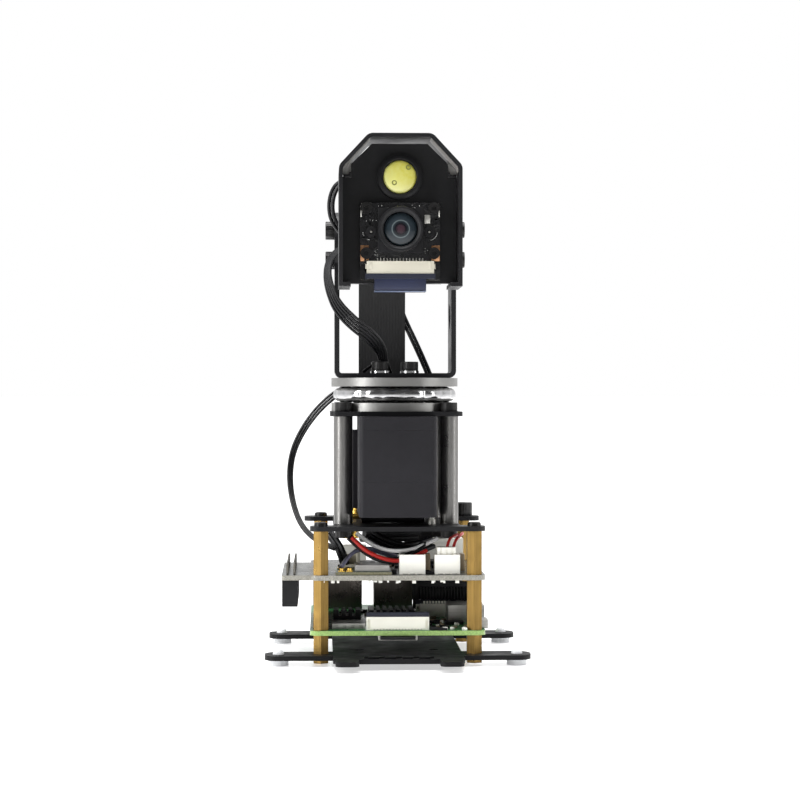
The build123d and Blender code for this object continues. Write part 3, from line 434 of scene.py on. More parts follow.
class Piece:
    """One mesh piece, built from small closed forms in millimetres."""

    def __init__(self, name):
        self.name = name
        self.mesh = bmesh.new()

    def block(self, low, high, bevel=0.0, turn=None):
        low, high = Vector(low), Vector(high)
        grown = bmesh.ops.create_cube(self.mesh, size=1.0)["verts"]
        size = high - low
        bmesh.ops.scale(self.mesh, vec=size, verts=grown)
        if bevel:
            edges = list({edge for vert in grown for edge in vert.link_edges})
            result = bmesh.ops.bevel(self.mesh, geom=edges, offset=bevel, segments=2, profile=0.5,
                                     affect="EDGES", clamp_overlap=True)
            grown = result["verts"]
        if turn:
            bmesh.ops.rotate(self.mesh, cent=(0, 0, 0), matrix=turn, verts=grown)
        bmesh.ops.translate(self.mesh, vec=(low + high) / 2, verts=grown)

    def side_block(self, side, low, high, bevel=0.0):
        """A block given for the side of positive X, mirrored when side is -1."""
        left, right = sorted((side * low[0], side * high[0]))
        self.block((left, *low[1:]), (right, *high[1:]), bevel)

    def row(self, places, half, low, high, bevel=0.0):
        """A block at each X in places, as wide as twice half, from low to high in (y, z)."""
        for x in places:
            self.block((x - half, *low), (x + half, *high), bevel)

    def lathe(self, centre, axis, profile, steps=48, wobble=None):
        """Turns (radius, height) points about an axis; wobble changes a radius by angle."""
        turn = Vector((0, 0, 1)).rotation_difference(Vector(axis)).to_matrix()
        rings = []
        for radius, height in profile:
            if radius == 0:
                rings.append([self.mesh.verts.new(turn @ Vector((0, 0, height)) + Vector(centre))])
                continue
            ring = []
            for step in range(steps):
                angle = 2 * math.pi * step / steps
                reach = radius + (wobble(radius, height, angle) if wobble else 0.0)
                place = Vector((reach * math.cos(angle), reach * math.sin(angle), height))
                ring.append(self.mesh.verts.new(turn @ place + Vector(centre)))
            rings.append(ring)
        for lower, upper in zip(rings, rings[1:]):
            for step in range(steps):
                after = (step + 1) % steps
                if len(lower) == 1:
                    self.mesh.faces.new((lower[0], upper[after], upper[step]))
                elif len(upper) == 1:
                    self.mesh.faces.new((lower[step], lower[after], upper[0]))
                else:
                    self.mesh.faces.new((lower[step], lower[after], upper[after], upper[step]))

    def strand(self, points, radius, steps=10):
        """A round closed tube along points."""
        rings = []
        for place, side, up in travelling_frames(points):
            ring = []
            for step in range(steps):
                angle = 2 * math.pi * step / steps
                reach = side * math.cos(angle) + up * math.sin(angle)
                ring.append(self.mesh.verts.new(place + reach * radius))
            rings.append(ring)
        for lower, upper in zip(rings, rings[1:]):
            for step in range(steps):
                after = (step + 1) % steps
                self.mesh.faces.new((lower[step], lower[after], upper[after], upper[step]))
        self.mesh.faces.new(list(reversed(rings[0])))
        self.mesh.faces.new(rings[-1])

    def band(self, points, widths, half, thick):
        """A flat strip along points, with its width along the direction given for each point."""
        rings = []
        for index, place in enumerate(points):
            ahead = points[min(index + 1, len(points) - 1)] - points[max(index - 1, 0)]
            across = widths[index].normalized()
            over = ahead.cross(across).normalized()
            shape = ((-half, -thick / 2), (half, -thick / 2), (half, thick / 2), (-half, thick / 2))
            rings.append([self.mesh.verts.new(place + across * a + over * b) for a, b in shape])
        for lower, upper in zip(rings, rings[1:]):
            for step in range(4):
                after = (step + 1) % 4
                self.mesh.faces.new((lower[step], lower[after], upper[after], upper[step]))
        self.mesh.faces.new(list(reversed(rings[0])))
        self.mesh.faces.new(rings[-1])

    def weld(self):
        """Joins the ends of a profile that closes on itself."""
        bmesh.ops.remove_doubles(self.mesh, verts=self.mesh.verts, dist=0.001)

    def make(self, look, slot, smooth=35.0):
        bmesh.ops.recalc_face_normals(self.mesh, faces=self.mesh.faces)
        bmesh.ops.scale(self.mesh, vec=(MM, MM, MM), verts=self.mesh.verts)
        data = bpy.data.meshes.new(self.name)
        self.mesh.to_mesh(data)
        self.mesh.free()
        data.materials.append(LOOK[look])
        for polygon in data.polygons:
            polygon.use_smooth = True
        data.set_sharp_from_angle(angle=math.radians(smooth))
        piece = placed(self.name, data)
        return piece

    def ride(self, look, slot, body, replaces=()):
        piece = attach(self.make(look, slot), body)
        if replaces:
            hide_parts(*replaces)
        return piece


def travelling_frames(points):
    """(place, side, up) along a line, turned as little as possible from point to point."""
    frames = []
    side = None
    for index, place in enumerate(points):
        ahead = (points[min(index + 1, len(points) - 1)] - points[max(index - 1, 0)]).normalized()
        if side is None:
            side = ahead.orthogonal().normalized()
        side = (side - ahead * side.dot(ahead)).normalized()
        frames.append((place, side, ahead.cross(side)))
    return frames


def smooth_line(route, steps=10):
    """Points along the NURBS spline that has the route as its control points."""
    curve = bpy.data.curves.new("route", "CURVE")
    curve.dimensions = "3D"
    curve.resolution_u = steps
    spline = curve.splines.new("NURBS")
    spline.points.add(len(route) - 1)
    for point, place in zip(spline.points, route):
        point.co = (*place, 1)
    spline.order_u = 3
    spline.use_endpoint_u = True
    carrier = placed("route", curve)
    bpy.context.view_layer.update()
    mesh = bpy.data.meshes.new_from_object(carrier)
    points = [vert.co.copy() for vert in mesh.vertices]
    bpy.data.objects.remove(carrier)
    bpy.data.curves.remove(curve)
    bpy.data.meshes.remove(mesh)
    return points


# Screws

def knurled_head(piece, centre, axis, radius, height, socket=1.25):
    """A cap head with a knurled side, a rounded rim and a hexagonal socket."""
    ribs = 24
    depth = 0.09 * radius / 2.75

    def knurl(reach, level, angle):
        on_side = reach > radius * 0.99 and 0.1 < level < height - 0.3
        return -depth * (0.5 + 0.5 * math.cos(ribs * angle)) if on_side else 0.0

    def hexagonal(reach, level, angle):
        if abs(reach - socket) > 1e-6:
            return knurl(reach, level, angle)
        sector = (angle % (math.pi / 3)) - math.pi / 6
        return socket * (math.cos(math.pi / 6) / math.cos(sector) - 1.0)

    profile = [(0, 0), (radius * 0.96, 0), (radius, 0.11), (radius, height * 0.45), (radius, height - 0.31),
               (radius * 0.985, height - 0.12), (radius * 0.93, height), (socket * 1.12, height),
               (socket, height - 0.1), (socket, height - 1.3), (0, height - 1.3)]
    piece.lathe(centre, axis, profile, 96, hexagonal)


def low_head(piece, centre, radius, height):
    """A low round head with a cross-shaped recess stood in for by a shallow socket."""
    profile = [(0, 0), (radius, 0), (radius, height * 0.4), (radius * 0.92, height * 0.85),
               (radius * 0.7, height), (0.9, height), (0.75, height - 0.5), (0, height - 0.5)]
    piece.lathe(centre, (0, 0, 1), profile, 36)


HEAD = 3.0
HEAD_R = 2.75
HORN_HEAD_R = 2.64
WIDE_HEAD, WIDE_HEAD_R = 4.6, 3.5
HORN_HOLE = 4.95
POST_X, POST_Y = 17.2, 16.5
HOLE_X, HOLE_Y = 24.5, 29.0
CORNERS = [(-1, -1), (1, -1), (-1, 1), (1, 1)]


def yoke_screws():
    screws = Piece("cap_screws_yoke")
    face = corners_mm("yoke_washers")[1].z
    for x, y in CORNERS:
        knurled_head(screws, (x * HORN_HOLE, y * HORN_HOLE, face), (0, 0, 1), HEAD_R, HEAD)
    side = corners_mm("yoke")[1].x
    for away in (-1, 1):
        for y, z in CORNERS:
            place = (away * side, y * HORN_HOLE, TILT_Z + z * HORN_HOLE)
            knurled_head(screws, place, (away, 0, 0), HORN_HEAD_R, HEAD)
    screws.ride("oxide", "black_steel", "turntable", ["yoke_screws"])


def deck_screws():
    """Screws of both decks. The one at the rear right has a wide knurled head."""
    screws = Piece("cap_screws_decks")
    upper, lower = corners_mm("top_deck")[1].z, corners_mm("middle_deck")
    for x, y in CORNERS:
        knurled_head(screws, (x * POST_X, y * POST_Y, upper), (0, 0, 1), HEAD_R, HEAD)
        knurled_head(screws, (x * POST_X, y * POST_Y, lower[0].z), (0, 0, -1), HEAD_R, HEAD)
        place = (x * HOLE_X, y * HOLE_Y, lower[1].z)
        if (x, y) == (1, 1):
            knurled_head(screws, place, (0, 0, 1), WIDE_HEAD_R, WIDE_HEAD)
        else:
            low_head(screws, place, 2.2, 1.3)
    screws.ride("oxide", "black_steel", "root", ["deck_screws"])


# Bearing

BALLS = 17
FIRST_BALL = math.radians(-93.7)
BULGE = 0.55
INNER_LIP = 18.0


def crimped_cage():
    """The pressed cage: its wall bulges over each ball and pinches in between, with a curled lip."""
    low, high = corners_mm("bearing_cage")
    bottom, top, wall = low.z, high.z, high.x - BULGE

    def lobe(angle):
        return abs(math.cos(BALLS * (angle - FIRST_BALL) / 2))

    def bulge(radius, height, angle):
        if radius <= INNER_LIP:
            return 0.0
        share = min(1.0, max(0.0, (height - bottom) / (top - bottom)))
        return BULGE * lobe(angle) * math.sin(math.pi * share) ** 0.6

    rows = 9
    profile = [(wall - 3.0, bottom + 0.35), (wall - 0.9, bottom + 0.05)]
    for row in range(rows):
        share = row / (rows - 1)
        lean = 0.9 * (2 * share - 1) ** 4
        profile.append((wall - lean, bottom + (top - bottom) * share))
    profile += [(wall - 1.9, top - 0.1), (wall - 3.2, top - 0.5), (wall - 3.2, top - 0.8),
                (wall - 1.8, top - 0.5), (wall - 1.2, top - 0.8), (wall - 0.75, top - 1.4),
                (wall - 0.75, bottom + 1.0), (wall - 1.4, bottom + 0.6), (wall - 3.0, bottom + 0.65)]
    cage = Piece("crimped_cage")
    cage.lathe((0, 0, 0), (0, 0, 1), profile + profile[:1], BALLS * 16, bulge)
    cage.weld()
    cage.ride("bright_steel", "bearing_steel", "cage", ["bearing_cage"])


# Head

def lamp():
    """Domed lens of the lamp, with two soldered pads seen through it."""
    low, high = corners_mm("lamp_lens")
    centre = (0, high.y, LAMP_Z)
    deep = high.y - low.y
    radius = 5.15
    profile = [(0, 0), (radius, 0), (radius, deep - 0.35)]
    for step in range(1, 8):
        angle = math.radians(90 * step / 8)
        profile.append((radius * math.cos(angle) ** 0.8, deep - 0.35 + 1.1 * math.sin(angle)))
    profile.append((0, deep + 0.75))
    dome = Piece("lamp_dome")
    dome.lathe(centre, (0, -1, 0), profile, 64)
    dome.ride("lamp", "lamp", "head", ["lamp_lens"])
    rings = Piece("lamp_pads")
    around = [math.radians(angle) for angle in range(0, 361, 45)]
    ring = [(0.62 + 0.2 * math.cos(angle), 0.2 * math.sin(angle)) for angle in around]
    for x, z in ((-1.75, -1.85), (2.6, 2.9)):
        rings.lathe((x, low.y - 0.62 + 0.02 * abs(x), LAMP_Z + z), (0, -1, 0), ring, 24)
    rings.weld()
    rings.ride("lamp_pad", "dark_plastic", "head")
    cap = Piece("lamp_back")
    profile = [(0, -0.05), (5.4, -0.05), (5.4, 0.7), (5.0, 0.9), (0, 0.9)]
    cap.lathe((0, high.y, LAMP_Z), (0, 1, 0), profile, 48)
    cap.ride("black_plastic", "dark_plastic", "head")
    collar = Piece("lamp_collar")
    lip = corners_mm("lamp_bezel")[0].y
    profile = [(5.3, -2.0), (5.3, 0.1), (5.6, 0.45), (6.1, 0.45), (6.9, 0.1), (7.0, -0.2), (7.0, -0.6),
               (5.3, -2.0)]
    collar.lathe((0, lip, LAMP_Z), (0, -1, 0), profile, 72)
    collar.weld()
    collar.ride("black_plastic", "dark_plastic", "head")


def lens():
    """Threaded barrel with a bevelled mouth, and the domed front glass inside it."""
    low, high = corners_mm("lens_barrel")
    depth = high.y - low.y
    barrel = Piece("lens_mouth")
    profile = [(5.0, 0), (7.0, 0.0)]
    for thread in range(4):
        level = 0.4 + 0.5 * thread
        profile += [(7.1, level), (6.95, level + 0.25)]
    profile += [(7.1, depth - 1.6), (7.1, depth - 0.5), (6.8, depth - 0.05), (6.5, depth),
                (6.0, depth - 0.15), (5.55, depth - 0.7), (5.35, depth - 0.75), (5.3, depth - 1.5),
                (5.0, depth - 2.2), (5.0, 0)]
    barrel.lathe((0, high.y, LENS_Z), (0, -1, 0), profile, 96)
    barrel.weld()
    barrel.ride("black_plastic", "black_steel", "head", ["lens_barrel"])
    glass = Piece("front_glass")
    radius, crown = 5.28, 1.5
    dome = [(0, 0), (radius, 0)]
    for step in range(10):
        angle = math.radians(90 * step / 10)
        dome.append((radius * math.cos(angle), 0.4 + crown * math.sin(angle)))
    dome.append((0, 0.4 + crown))
    glass.lathe((0, low.y + 2.3, LENS_Z), (0, -1, 0), dome, 72)
    glass.ride("coated_glass", "glass", "head", ["lens_glass"])


EAR_X = 9.0
ARC_RADIUS = 2.5
SUNK = 0.01  # how far a small part sinks into its board


def holder_details():
    """Bright pins in the holder's ears, the arcs printed round them, and dashes elsewhere on the board."""
    front = corners_mm("camera_board")[0].y
    ear_z = LENS_Z - 0.6
    pins = Piece("holder_pins")
    arcs = Piece("board_marks")
    for side in (-1, 1):
        centre = (side * EAR_X, front - 0.8, ear_z)
        pins.lathe(centre, (0, -1, 0), [(0, 0), (0.35, 0), (0.3, 0.25), (0, 0.3)], 16)
        for step in range(9):
            angle = math.radians(-90 + side * (12 + 9 * step))
            x = side * EAR_X + ARC_RADIUS * math.cos(angle)
            z = ear_z + ARC_RADIUS * math.sin(angle)
            arcs.block((x - 0.14, front - 0.03, z - 0.08), (x + 0.14, front + SUNK, z + 0.08),
                       turn=Matrix.Rotation(-angle - math.pi / 2, 3, "Y"))
    marks = random.Random(5)
    for left, right, low, high, count in ((-10.6, -7.2, 139.4, 140.2, 5), (-8.9, -6.9, 129.0, 131.6, 7),
                                         (7.0, 9.6, 129.2, 131.4, 7), (-6.8, -3.6, 143.4, 144.8, 6),
                                         (3.6, 6.8, 143.4, 144.8, 6), (5.4, 8.2, 127.2, 128.4, 5)):
        for _ in range(count):
            x, z = marks.uniform(left, right), marks.uniform(low, high)
            wide, tall = marks.choice(((0.16, 0.07), (0.07, 0.16), (0.1, 0.1)))
            arcs.block((x - wide, front - 0.03, z - tall), (x + wide, front + SUNK, z + tall))
    pins.ride("silver", "tin_plate", "head")
    arcs.ride("ink", "white_plastic", "head")


def camera_parts():
    """Pads at the board's corners, small parts and the row of connector pins."""
    front = corners_mm("camera_board")[0].y
    for name, look, strips in (("copper_pads", "copper", ((9.7, 127.4, 132.3),)),
                               ("silver_pads", "silver", ((9.7, 144.7, 145.3), (11.9, 141.0, 145.3)))):
        pads = Piece(name)
        for side in (-1, 1):
            for x, low, high in strips:
                pads.side_block(side, (x, front - 0.05, low), (12.3, front + SUNK, high), 0.02)
        pads.ride(look, "gold", "head")
    chips = Piece("camera_chips")
    parts = random.Random(11)
    for _ in range(46):
        side = parts.choice((-1, 1))
        x = side * parts.uniform(7.8, 11.6)
        levels = [parts.uniform(low, high) for low, high in ((122.4, 128.0), (134.4, 135.4), (138.8, 142.0))]
        z = parts.choice(levels)
        wide, tall = parts.choice(((0.5, 0.28), (0.28, 0.5), (0.35, 0.2)))
        chips.block((x - wide, front - 0.35, z - tall), (x + wide, front + SUNK, z + tall), 0.05)
    chips.ride("black_plastic", "dark_plastic", "head")
    crystal = Piece("camera_crystal")
    crystal.block((7.5, front - 0.9, 139.0), (9.3, front + SUNK, 141.7), 0.12)
    crystal.ride("silver", "tin_plate", "head")
    pins = Piece("ribbon_pins")
    base = corners_mm("ribbon_connector")[1].z
    pins.row(range(-7, 8), 0.17, (front - 0.3, base - 0.1), (front + SUNK, base + 1.1), 0.04)
    pins.ride("silver", "tin_plate", "head")
    ends = Piece("connector_ends")
    face = corners_mm("ribbon_connector")[0].y
    ends.row((-9.2, 9.2), 0.5, (face - 0.12, base - 2.6), (face + 0.05, base - 0.5), 0.08)
    ends.row((-10.55, 10.55), 0.25, (face + 0.3, base - 2.4), (face + 1.4, base - 0.9), 0.08)
    ends.ride("ivory", "white_plastic", "head")


def rounded_path(corners, radius, steps=6):
    """An open outline of (x, z) corners, each turned on an arc of the given radius."""
    points = [Vector(corners[0])]
    for before, corner, after in zip(corners, corners[1:], corners[2:]):
        corner = Vector(corner)
        back = (Vector(before) - corner).normalized()
        on = (Vector(after) - corner).normalized()
        half = back.angle(on) / 2
        centre = corner + (back + on).normalized() * radius / math.sin(half)
        first = corner + back * radius / math.tan(half) - centre
        sweep = (math.pi - 2 * half) * (1 if back.cross(on) > 0 else -1)
        for step in range(steps + 1):
            points.append(centre + Matrix.Rotation(-sweep * step / steps, 2) @ first)
    points.append(Vector(corners[-1]))
    return points


def hood_details():
    """A hemmed rim, hooks on the plate's shoulders and feet at the bottom of the walls, with lighter strips
    and tab slabs inside the hood as painted reflection and painted light.
    """
    low = corners_mm("hood")[0]
    rim = Piece("hood_rim")
    inside = [(-18.4, 122.0), (-18.4, 156.26), (-9.56, 165.8), (9.56, 165.8), (18.4, 156.26), (18.4, 122.0)]
    path = [Vector((x, low.y + 0.62, z)) for x, z in rounded_path(inside, 2.4)]
    rim.strand(path, 0.61, 12)
    rim.ride("sheet", "black_sheet", "head")
    # Strips of lighter sheet along the chamfers inside the hood: a painted reflection of the floor's light on
    # their undersides.
    reflection_strips = Piece("hood_painted_reflection_strips")
    # Thin light slabs on the fronts of the tabs: painted light where the tabs sit in shade.
    tabs = Piece("hood_tab_painted_light")
    for side in (-1, 1):
        corners = [(side * 17.72, 154.7), (side * 17.72, 156.0), (side * 9.3, 165.1)]
        edge = [Vector((x, low.y + 5.6, z)) for x, z in rounded_path(corners, 1.8)]
        reflection_strips.band(edge, [Vector((0, 1, 0))] * len(edge), 4.2, 0.08)
        tabs.side_block(side, (14.9, -44.2, 154.5), (17.7, -44.08, 158.9))
    reflection_strips.ride("sheet_painted_reflection", "black_sheet", "head")
    tabs.ride("tab_painted_light", "black_sheet", "head")
    hooks = Piece("shoulder_hooks")
    face = corners_mm("head_plate")[0].y
    for side in (-1, 1):
        hooks.side_block(side, (15.0, face - 1.1, 153.6), (17.6, face + 0.1, 154.5), 0.15)
        hooks.side_block(side, (15.0, face - 1.1, 154.3), (15.7, face + 0.1, 155.3), 0.15)
        hooks.side_block(side, (15.3, -54.0, 119.42), (18.9, -46.5, 120.5), 0.2)
    hooks.ride("sheet", "black_sheet", "head")


# Boards

def scatter(name, look, slot, regions, level, seed, sizes, tall, body="root"):
    """Small parts soldered in boxes of (x0, x1, y0, y1, count) on a board face at the given level."""
    piece = Piece(name)
    places = random.Random(seed)
    for x0, x1, y0, y1, count in regions:
        for _ in range(count):
            x, y = places.uniform(x0, x1), places.uniform(y0, y1)
            wide, deep = places.choice(sizes)
            high = tall * places.uniform(0.6, 1.0)
            low, top = sorted((level - math.copysign(0.02, tall), level + high))
            piece.block((x - wide / 2, y - deep / 2, low), (x + wide / 2, y + deep / 2, top), 0.06)
    piece.ride(look, slot, body)


RIBBON_X = 17.6
RIB_PITCH = 1.02
SMALL = ((1.0, 0.5), (0.5, 1.0), (1.6, 0.8), (0.8, 1.6))


def computer_details():
    low, high = corners_mm("computer_board")
    top, bottom, front = high.z, low.z, low.y
    scatter("resistors_white", "white", "white_plastic",
            [(13.0, 22.0, front + 0.8, front + 4.5, 9), (-8.0, 8.0, -23.0, -20.0, 8),
             (10.0, 20.0, -24, 2, 14)], top, 3, SMALL, 0.9)
    scatter("capacitors_tan", "tan_part", "brass", [(12.0, 26.0, -27.0, 4.0, 22), (-20.0, 8.0, 9.5, 18.0, 22),
                                                    (-18.0, -4.0, -14.0, -11.0, 9)], top, 4, SMALL, 1.0)
    scatter("resistors_black", "black_plastic", "dark_plastic",
            [(11.5, 16.0, front + 1.0, front + 9.0, 9), (-20.0, 18.0, 18.0, 30.0, 30),
             (9.0, 14.0, -20.0, -4.0, 12)],
            top, 6, ((1.6, 0.8), (2.2, 2.2), (1.2, 1.2), (3.0, 2.4)), 1.0)
    scatter("underside_parts", "tan_part", "brass", [(-20.0, 20.0, -14.0, 30.0, 60)], bottom, 8, SMALL, -0.8)
    pins = Piece("flat_cable_pins")
    port_front = corners_mm("flat_cable_ports")[0].y
    pins.row([index - 7.5 for index in range(16)], 0.2, (port_front - 0.5, top - 0.02),
             (port_front + 0.3, top + 0.45), 0.05)
    pins.ride("silver", "tin_plate", "root")
    edge = Piece("card_holder_edge")
    holder = corners_mm("metal_ports")
    edge.row((-5.9, 5.9), 0.25, (front - 0.2, holder[0].z), (front + 1.5, bottom), 0.06)
    edge.block((-5.6, front - 0.2, holder[0].z - 0.02), (5.6, front + 1.0, holder[0].z + 0.16), 0.04)
    edge.ride("silver", "tin_plate", "root")
    ribbed = Piece("ribbed_cable_head")
    port_y = corners_mm("lower_ribbon")[0].y
    base = corners_mm("flat_cable_latches")[1].z
    left = RIBBON_X - 8.8
    ribbed.block((left - 2.4, port_y - 0.4, base), (left + 17.6, port_y - 0.1, base + 6.2), 0.1)
    ribbed.block((left - 2.2, port_y - 1.5, base - 3.0), (left - 0.2, port_y - 0.1, base + 6.2), 0.1)
    ribbed.block((left - 0.2, port_y - 1.5, base + 4.0), (left + 17.6, port_y - 0.3, base + 6.2), 0.1)
    ribbed.row([left + 0.6 + index * RIB_PITCH for index in range(17)], 0.3, (port_y - 2.3, base - 0.3),
               (port_y - 1.4, base + 4.2), 0.1)
    ribbed.ride("black_plastic", "dark_plastic", "root")
    # Tin contacts coloured light cream: painted light that lifts them out of the shade they sit in.
    contacts = Piece("ribbed_cable_contacts")
    contacts.row([left + 1.6 + index * RIB_PITCH for index in range(15)], 0.34,
                 (port_y - 2.6, base - 1.1), (port_y - 1.5, base - 0.3), 0.1)
    contacts.ride("cream", "tin_plate", "root")
    cover = Piece("ribbed_cable_port_face")
    cover.block((left + 0.1, port_y - 2.75, top), (left + 17.5, port_y - 1.9, base - 1.2), 0.1)
    cover.ride("cream", "white_plastic", "root")


def driver_details():
    low, high = corners_mm("driver_board")
    top, bottom, front = high.z, low.z, low.y
    scatter("driver_bits_below", "white", "white_plastic", [(-24.0, 20.0, front + 0.6, front + 2.4, 15)],
            bottom, 12, ((0.8, 0.8), (1.2, 0.8), (0.6, 0.8)), -1.0)
    scatter("driver_parts", "black_plastic", "dark_plastic",
            [(-20.0, 22.0, -8.0, 15.0, 34), (9.4, 11.4, -29.0, -23.0, 4)], top, 13,
            ((1.6, 0.8), (0.8, 1.6), (3.0, 3.0), (4.0, 5.0)), 1.2)
    scatter("driver_capacitors", "tan_part", "brass", [(-20.0, 22.0, -18.0, 18.0, 42)], top, 14, SMALL, 1.0)
    scatter("module_parts", "gold", "gold", [(-19.0, -14.4, -25.8, -12.0, 16)], top + 0.8, 15,
            ((0.6, 0.4), (1.0, 0.5), (0.5, 0.9)), 0.5)
    tabs = Piece("socket_tabs")
    for centre in (4.75, 15.95):
        tabs.row([centre + 2.3 * step for step in (-1, 0, 1)], 0.8, (-29.35, top - 0.01),
                 (-28.9, top + 0.35), 0.06)
    tabs.ride("silver", "tin_plate", "root")
    stub = Piece("rear_connector")
    stub.block((-17.2, -6.0, top), (-11.6, -1.0, top + 1.4), 0.15)
    for x in (-17.2, -12.8):
        stub.block((x, -6.0, top + 1.2), (x + 1.2, -1.0, top + 5.4), 0.15)
    stub.block((-16.2, -2.4, top + 1.2), (-12.6, -1.0, top + 4.6), 0.1)
    stub.ride("ivory", "white_plastic", "root")
    coils = Piece("square_coils")
    for x, wide in ((10.2, 1.9), (21.6, 1.6)):
        coils.row((x,), wide / 2, (-16.0, top), (-12.0, top + 5.6), 0.2)
    coils.ride("tan_part", "brass", "root")
    knob = Piece("deck_post")
    deck = corners_mm("middle_deck")[1].z
    profile = [(0, 0), (1.3, 0), (1.3, 1.4), (1.0, 1.6), (1.0, 2.6), (0.6, 2.9), (0, 2.9)]
    knob.lathe((11.4, -20.0, deck), (0, 0, 1), profile, 24)
    knob.ride("silver", "tin_plate", "root")
    flange = Piece("aerial_flange")
    flange.block((-13.9, 12.4, deck), (-7.2, 18.4, deck + 1.7), 0.1)
    profile = [(0, 0), (2.2, 0), (2.2, 1.1), (1.8, 1.3), (1.8, 2.6), (2.1, 2.8), (2.1, 4.2), (0, 4.2)]
    flange.lathe((-12.3, 15.4, deck + 1.6), (0, 0, 1), profile, 28)
    flange.ride("gold", "gold", "root")


def base_details():
    """Low ribs along the front of the spine."""
    high = corners_mm("base_plate")[1]
    piece = Piece("spine_ribs")
    piece.row((-8.0, -2.7, 2.7, 8.0), 1.7, (-43.6, high.z - 0.05), (-42.2, high.z + 0.7), 0.15)
    piece.block((-11.0, -41.6, high.z - 0.05), (11.0, -40.4, high.z + 0.5), 0.15)
    piece.ride("anodised", "black_anodised", "root")


# Leads and flat cables

LOWER_RIBBON = [(17.6, 12.75, 12.2), (17.6, 12.75, 17.0), (17.4, 13.1, 20.8), (15.0, 20.0, 23.2),
                (13.5, 25.6, 24.4), (13.2, 31.4, 25.6), (13.2, 33.6, 28.0), (11.5, 34.2, 45.0),
                (4.0, 30.5, 62.0), (-2.0, 26.5, 76.0), (-3.5, 24.6, 86.0), (-3.5, 24.5, 88.5)]
TURN_RIBBON = [(-3.5, 24.5, 87.0), (-3.5, 24.4, 92.8), (-3.5, 24.2, 99.0), (-3.5, 24.0, 106.0),
               (-3.5, 23.7, 114.0), (-3.5, 23.5, 119.0)]
UPPER_RIBBON = [(-3.5, 23.6, 117.0), (-3.5, 23.4, 121.0), (-3.5, 22.8, 128.0),
                (-3.0, 20.6, 139.0), (-1.4, 16.6, 147.4), (-0.6, 9.0, 151.0), (0.0, 1.0, 150.7),
                (0.0, -8.0, 150.6)]
MAIN_LEAD = [(-19.6, -24.2, 36.6), (-25.2, -21.5, 38.4), (-30.6, -15.0, 42.8), (-33.6, -7.0, 49.5),
             (-35.0, -1.5, 58.0), (-34.2, 2.5, 66.5), (-30.8, 7.5, 74.0), (-26.0, 14.0, 80.6),
             (-20.6, 19.6, 85.6), (-14.8, 25.4, 89.0), (-9.4, 29.0, 91.6)]
TURN_LEAD = [(-9.4, 29.0, 91.6), (-5.0, 30.6, 93.4), (-0.4, 29.4, 96.8), (1.2, 26.4, 102.4),
             (1.6, 24.9, 109.0), (1.6, 24.3, 116.0)]
ARM_LEAD = [(-14.4, -24.0, 134.6), (-17.6, -21.4, 133.6), (-21.4, -18.0, 130.6), (-22.6, -14.6, 125.8),
            (-21.4, -12.8, 119.8), (-18.8, -12.4, 114.4), (-13.6, -10.8, 109.2), (-8.2, -8.4, 105.4),
            (-4.6, -4.6, 101.0), (-3.6, -1.2, 96.4), (-0.6, 0.0, 90.4)]
REAR_LEAD = [(13.6, 22.2, 82.4), (14.6, 22.6, 87.0), (13.2, 21.9, 91.6), (10.8, 22.2, 97.4),
             (7.6, 23.4, 104.6), (4.6, 25.6, 111.0), (2.4, 26.4, 116.4)]
SERVO_LEAD = [(4.6, 25.6, 111.0), (2.4, 26.4, 116.4), (1.4, 27.0, 122.0), (1.4, 26.4, 127.6),
              (1.8, 22.6, 132.2), (2.6, 16.4, 134.2), (3.0, 9.6, 134.6)]
LAMP_LEAD = [(-13.0, -42.8, 152.0), (-13.4, -36.0, 153.2), (-15.2, -29.6, 154.2), (-19.2, -26.9, 153.6),
             (-21.2, -26.9, 149.4), (-21.4, -26.7, 144.6), (-20.0, -25.4, 140.6), (-17.5, -24.6, 138.0)]
WHITE_LEAD = [(-13.0, -21.0, 41.4), (-9.8, -22.0, 38.6), (-4.6, -23.4, 36.2), (1.6, -24.2, 35.6),
              (7.6, -23.8, 37.0), (13.2, -21.4, 39.6)]
RED_LEAD = [(-14.6, -24.8, 40.2), (-11.2, -25.8, 36.6), (-5.8, -26.8, 33.9), (-0.4, -27.2, 32.6),
            (4.6, -26.4, 33.6), (9.6, -24.6, 36.0)]
STRAY_LEAD = [(-4.0, -1.6, 97.6), (-6.4, -0.6, 96.4), (-8.6, -1.6, 95.2), (-10.6, -2.4, 93.5)]
# Crowd under the middle deck: each bundle's route, strand radius and strand offsets.
DARK_LEADS = [
    ([(-15.0, -23.0, 40.6), (-10.4, -24.0, 36.0), (-4.0, -25.4, 33.0), (3.0, -25.2, 33.6),
      (8.4, -22.0, 38.6)], 0.66, ((0, 0), (-2, 0.4))),
    ([(-22.0, -12.0, 41.0), (-19.0, -17.0, 37.4), (-17.4, -19.0, 33.6), (-16.8, -16.0, 31.2)],
     0.8, ((-1, 0), (1, 0), (0, 1.7))),
    ([(-8.0, -6.0, 39.6), (-2.0, -10.0, 36.0), (6.0, -10.0, 35.0), (12.0, -4.0, 37.0)],
     0.8, ((-2, 0), (0, 0), (2, 0), (1, 1.7))),
    ([(-10.0, 4.0, 39.6), (-4.0, 8.0, 39.4), (3.0, 11.0, 39.2), (9.0, 14.0, 39.2)],
     1.3, ((0, 0), (0.2, -1.9))),
]
AERIAL_LEADS = [(-18.0, -27.6, 30.9), (-16.0, -24.0, 34.0), (-12.0, -20.0, 36.4), (-6.0, -15.0, 35.4),
                (0.0, -12.0, 33.0)]


def bundle(piece, route, radius, offsets=((0, 0),)):
    """Round strands side by side along a route; offsets are (across, over) in strand radii."""
    line = smooth_line(route)
    for across, over in offsets:
        path = []
        for place, side, up in travelling_frames(line):
            path.append(place + side * across * radius + up * over * radius)
        piece.strand(path, radius)


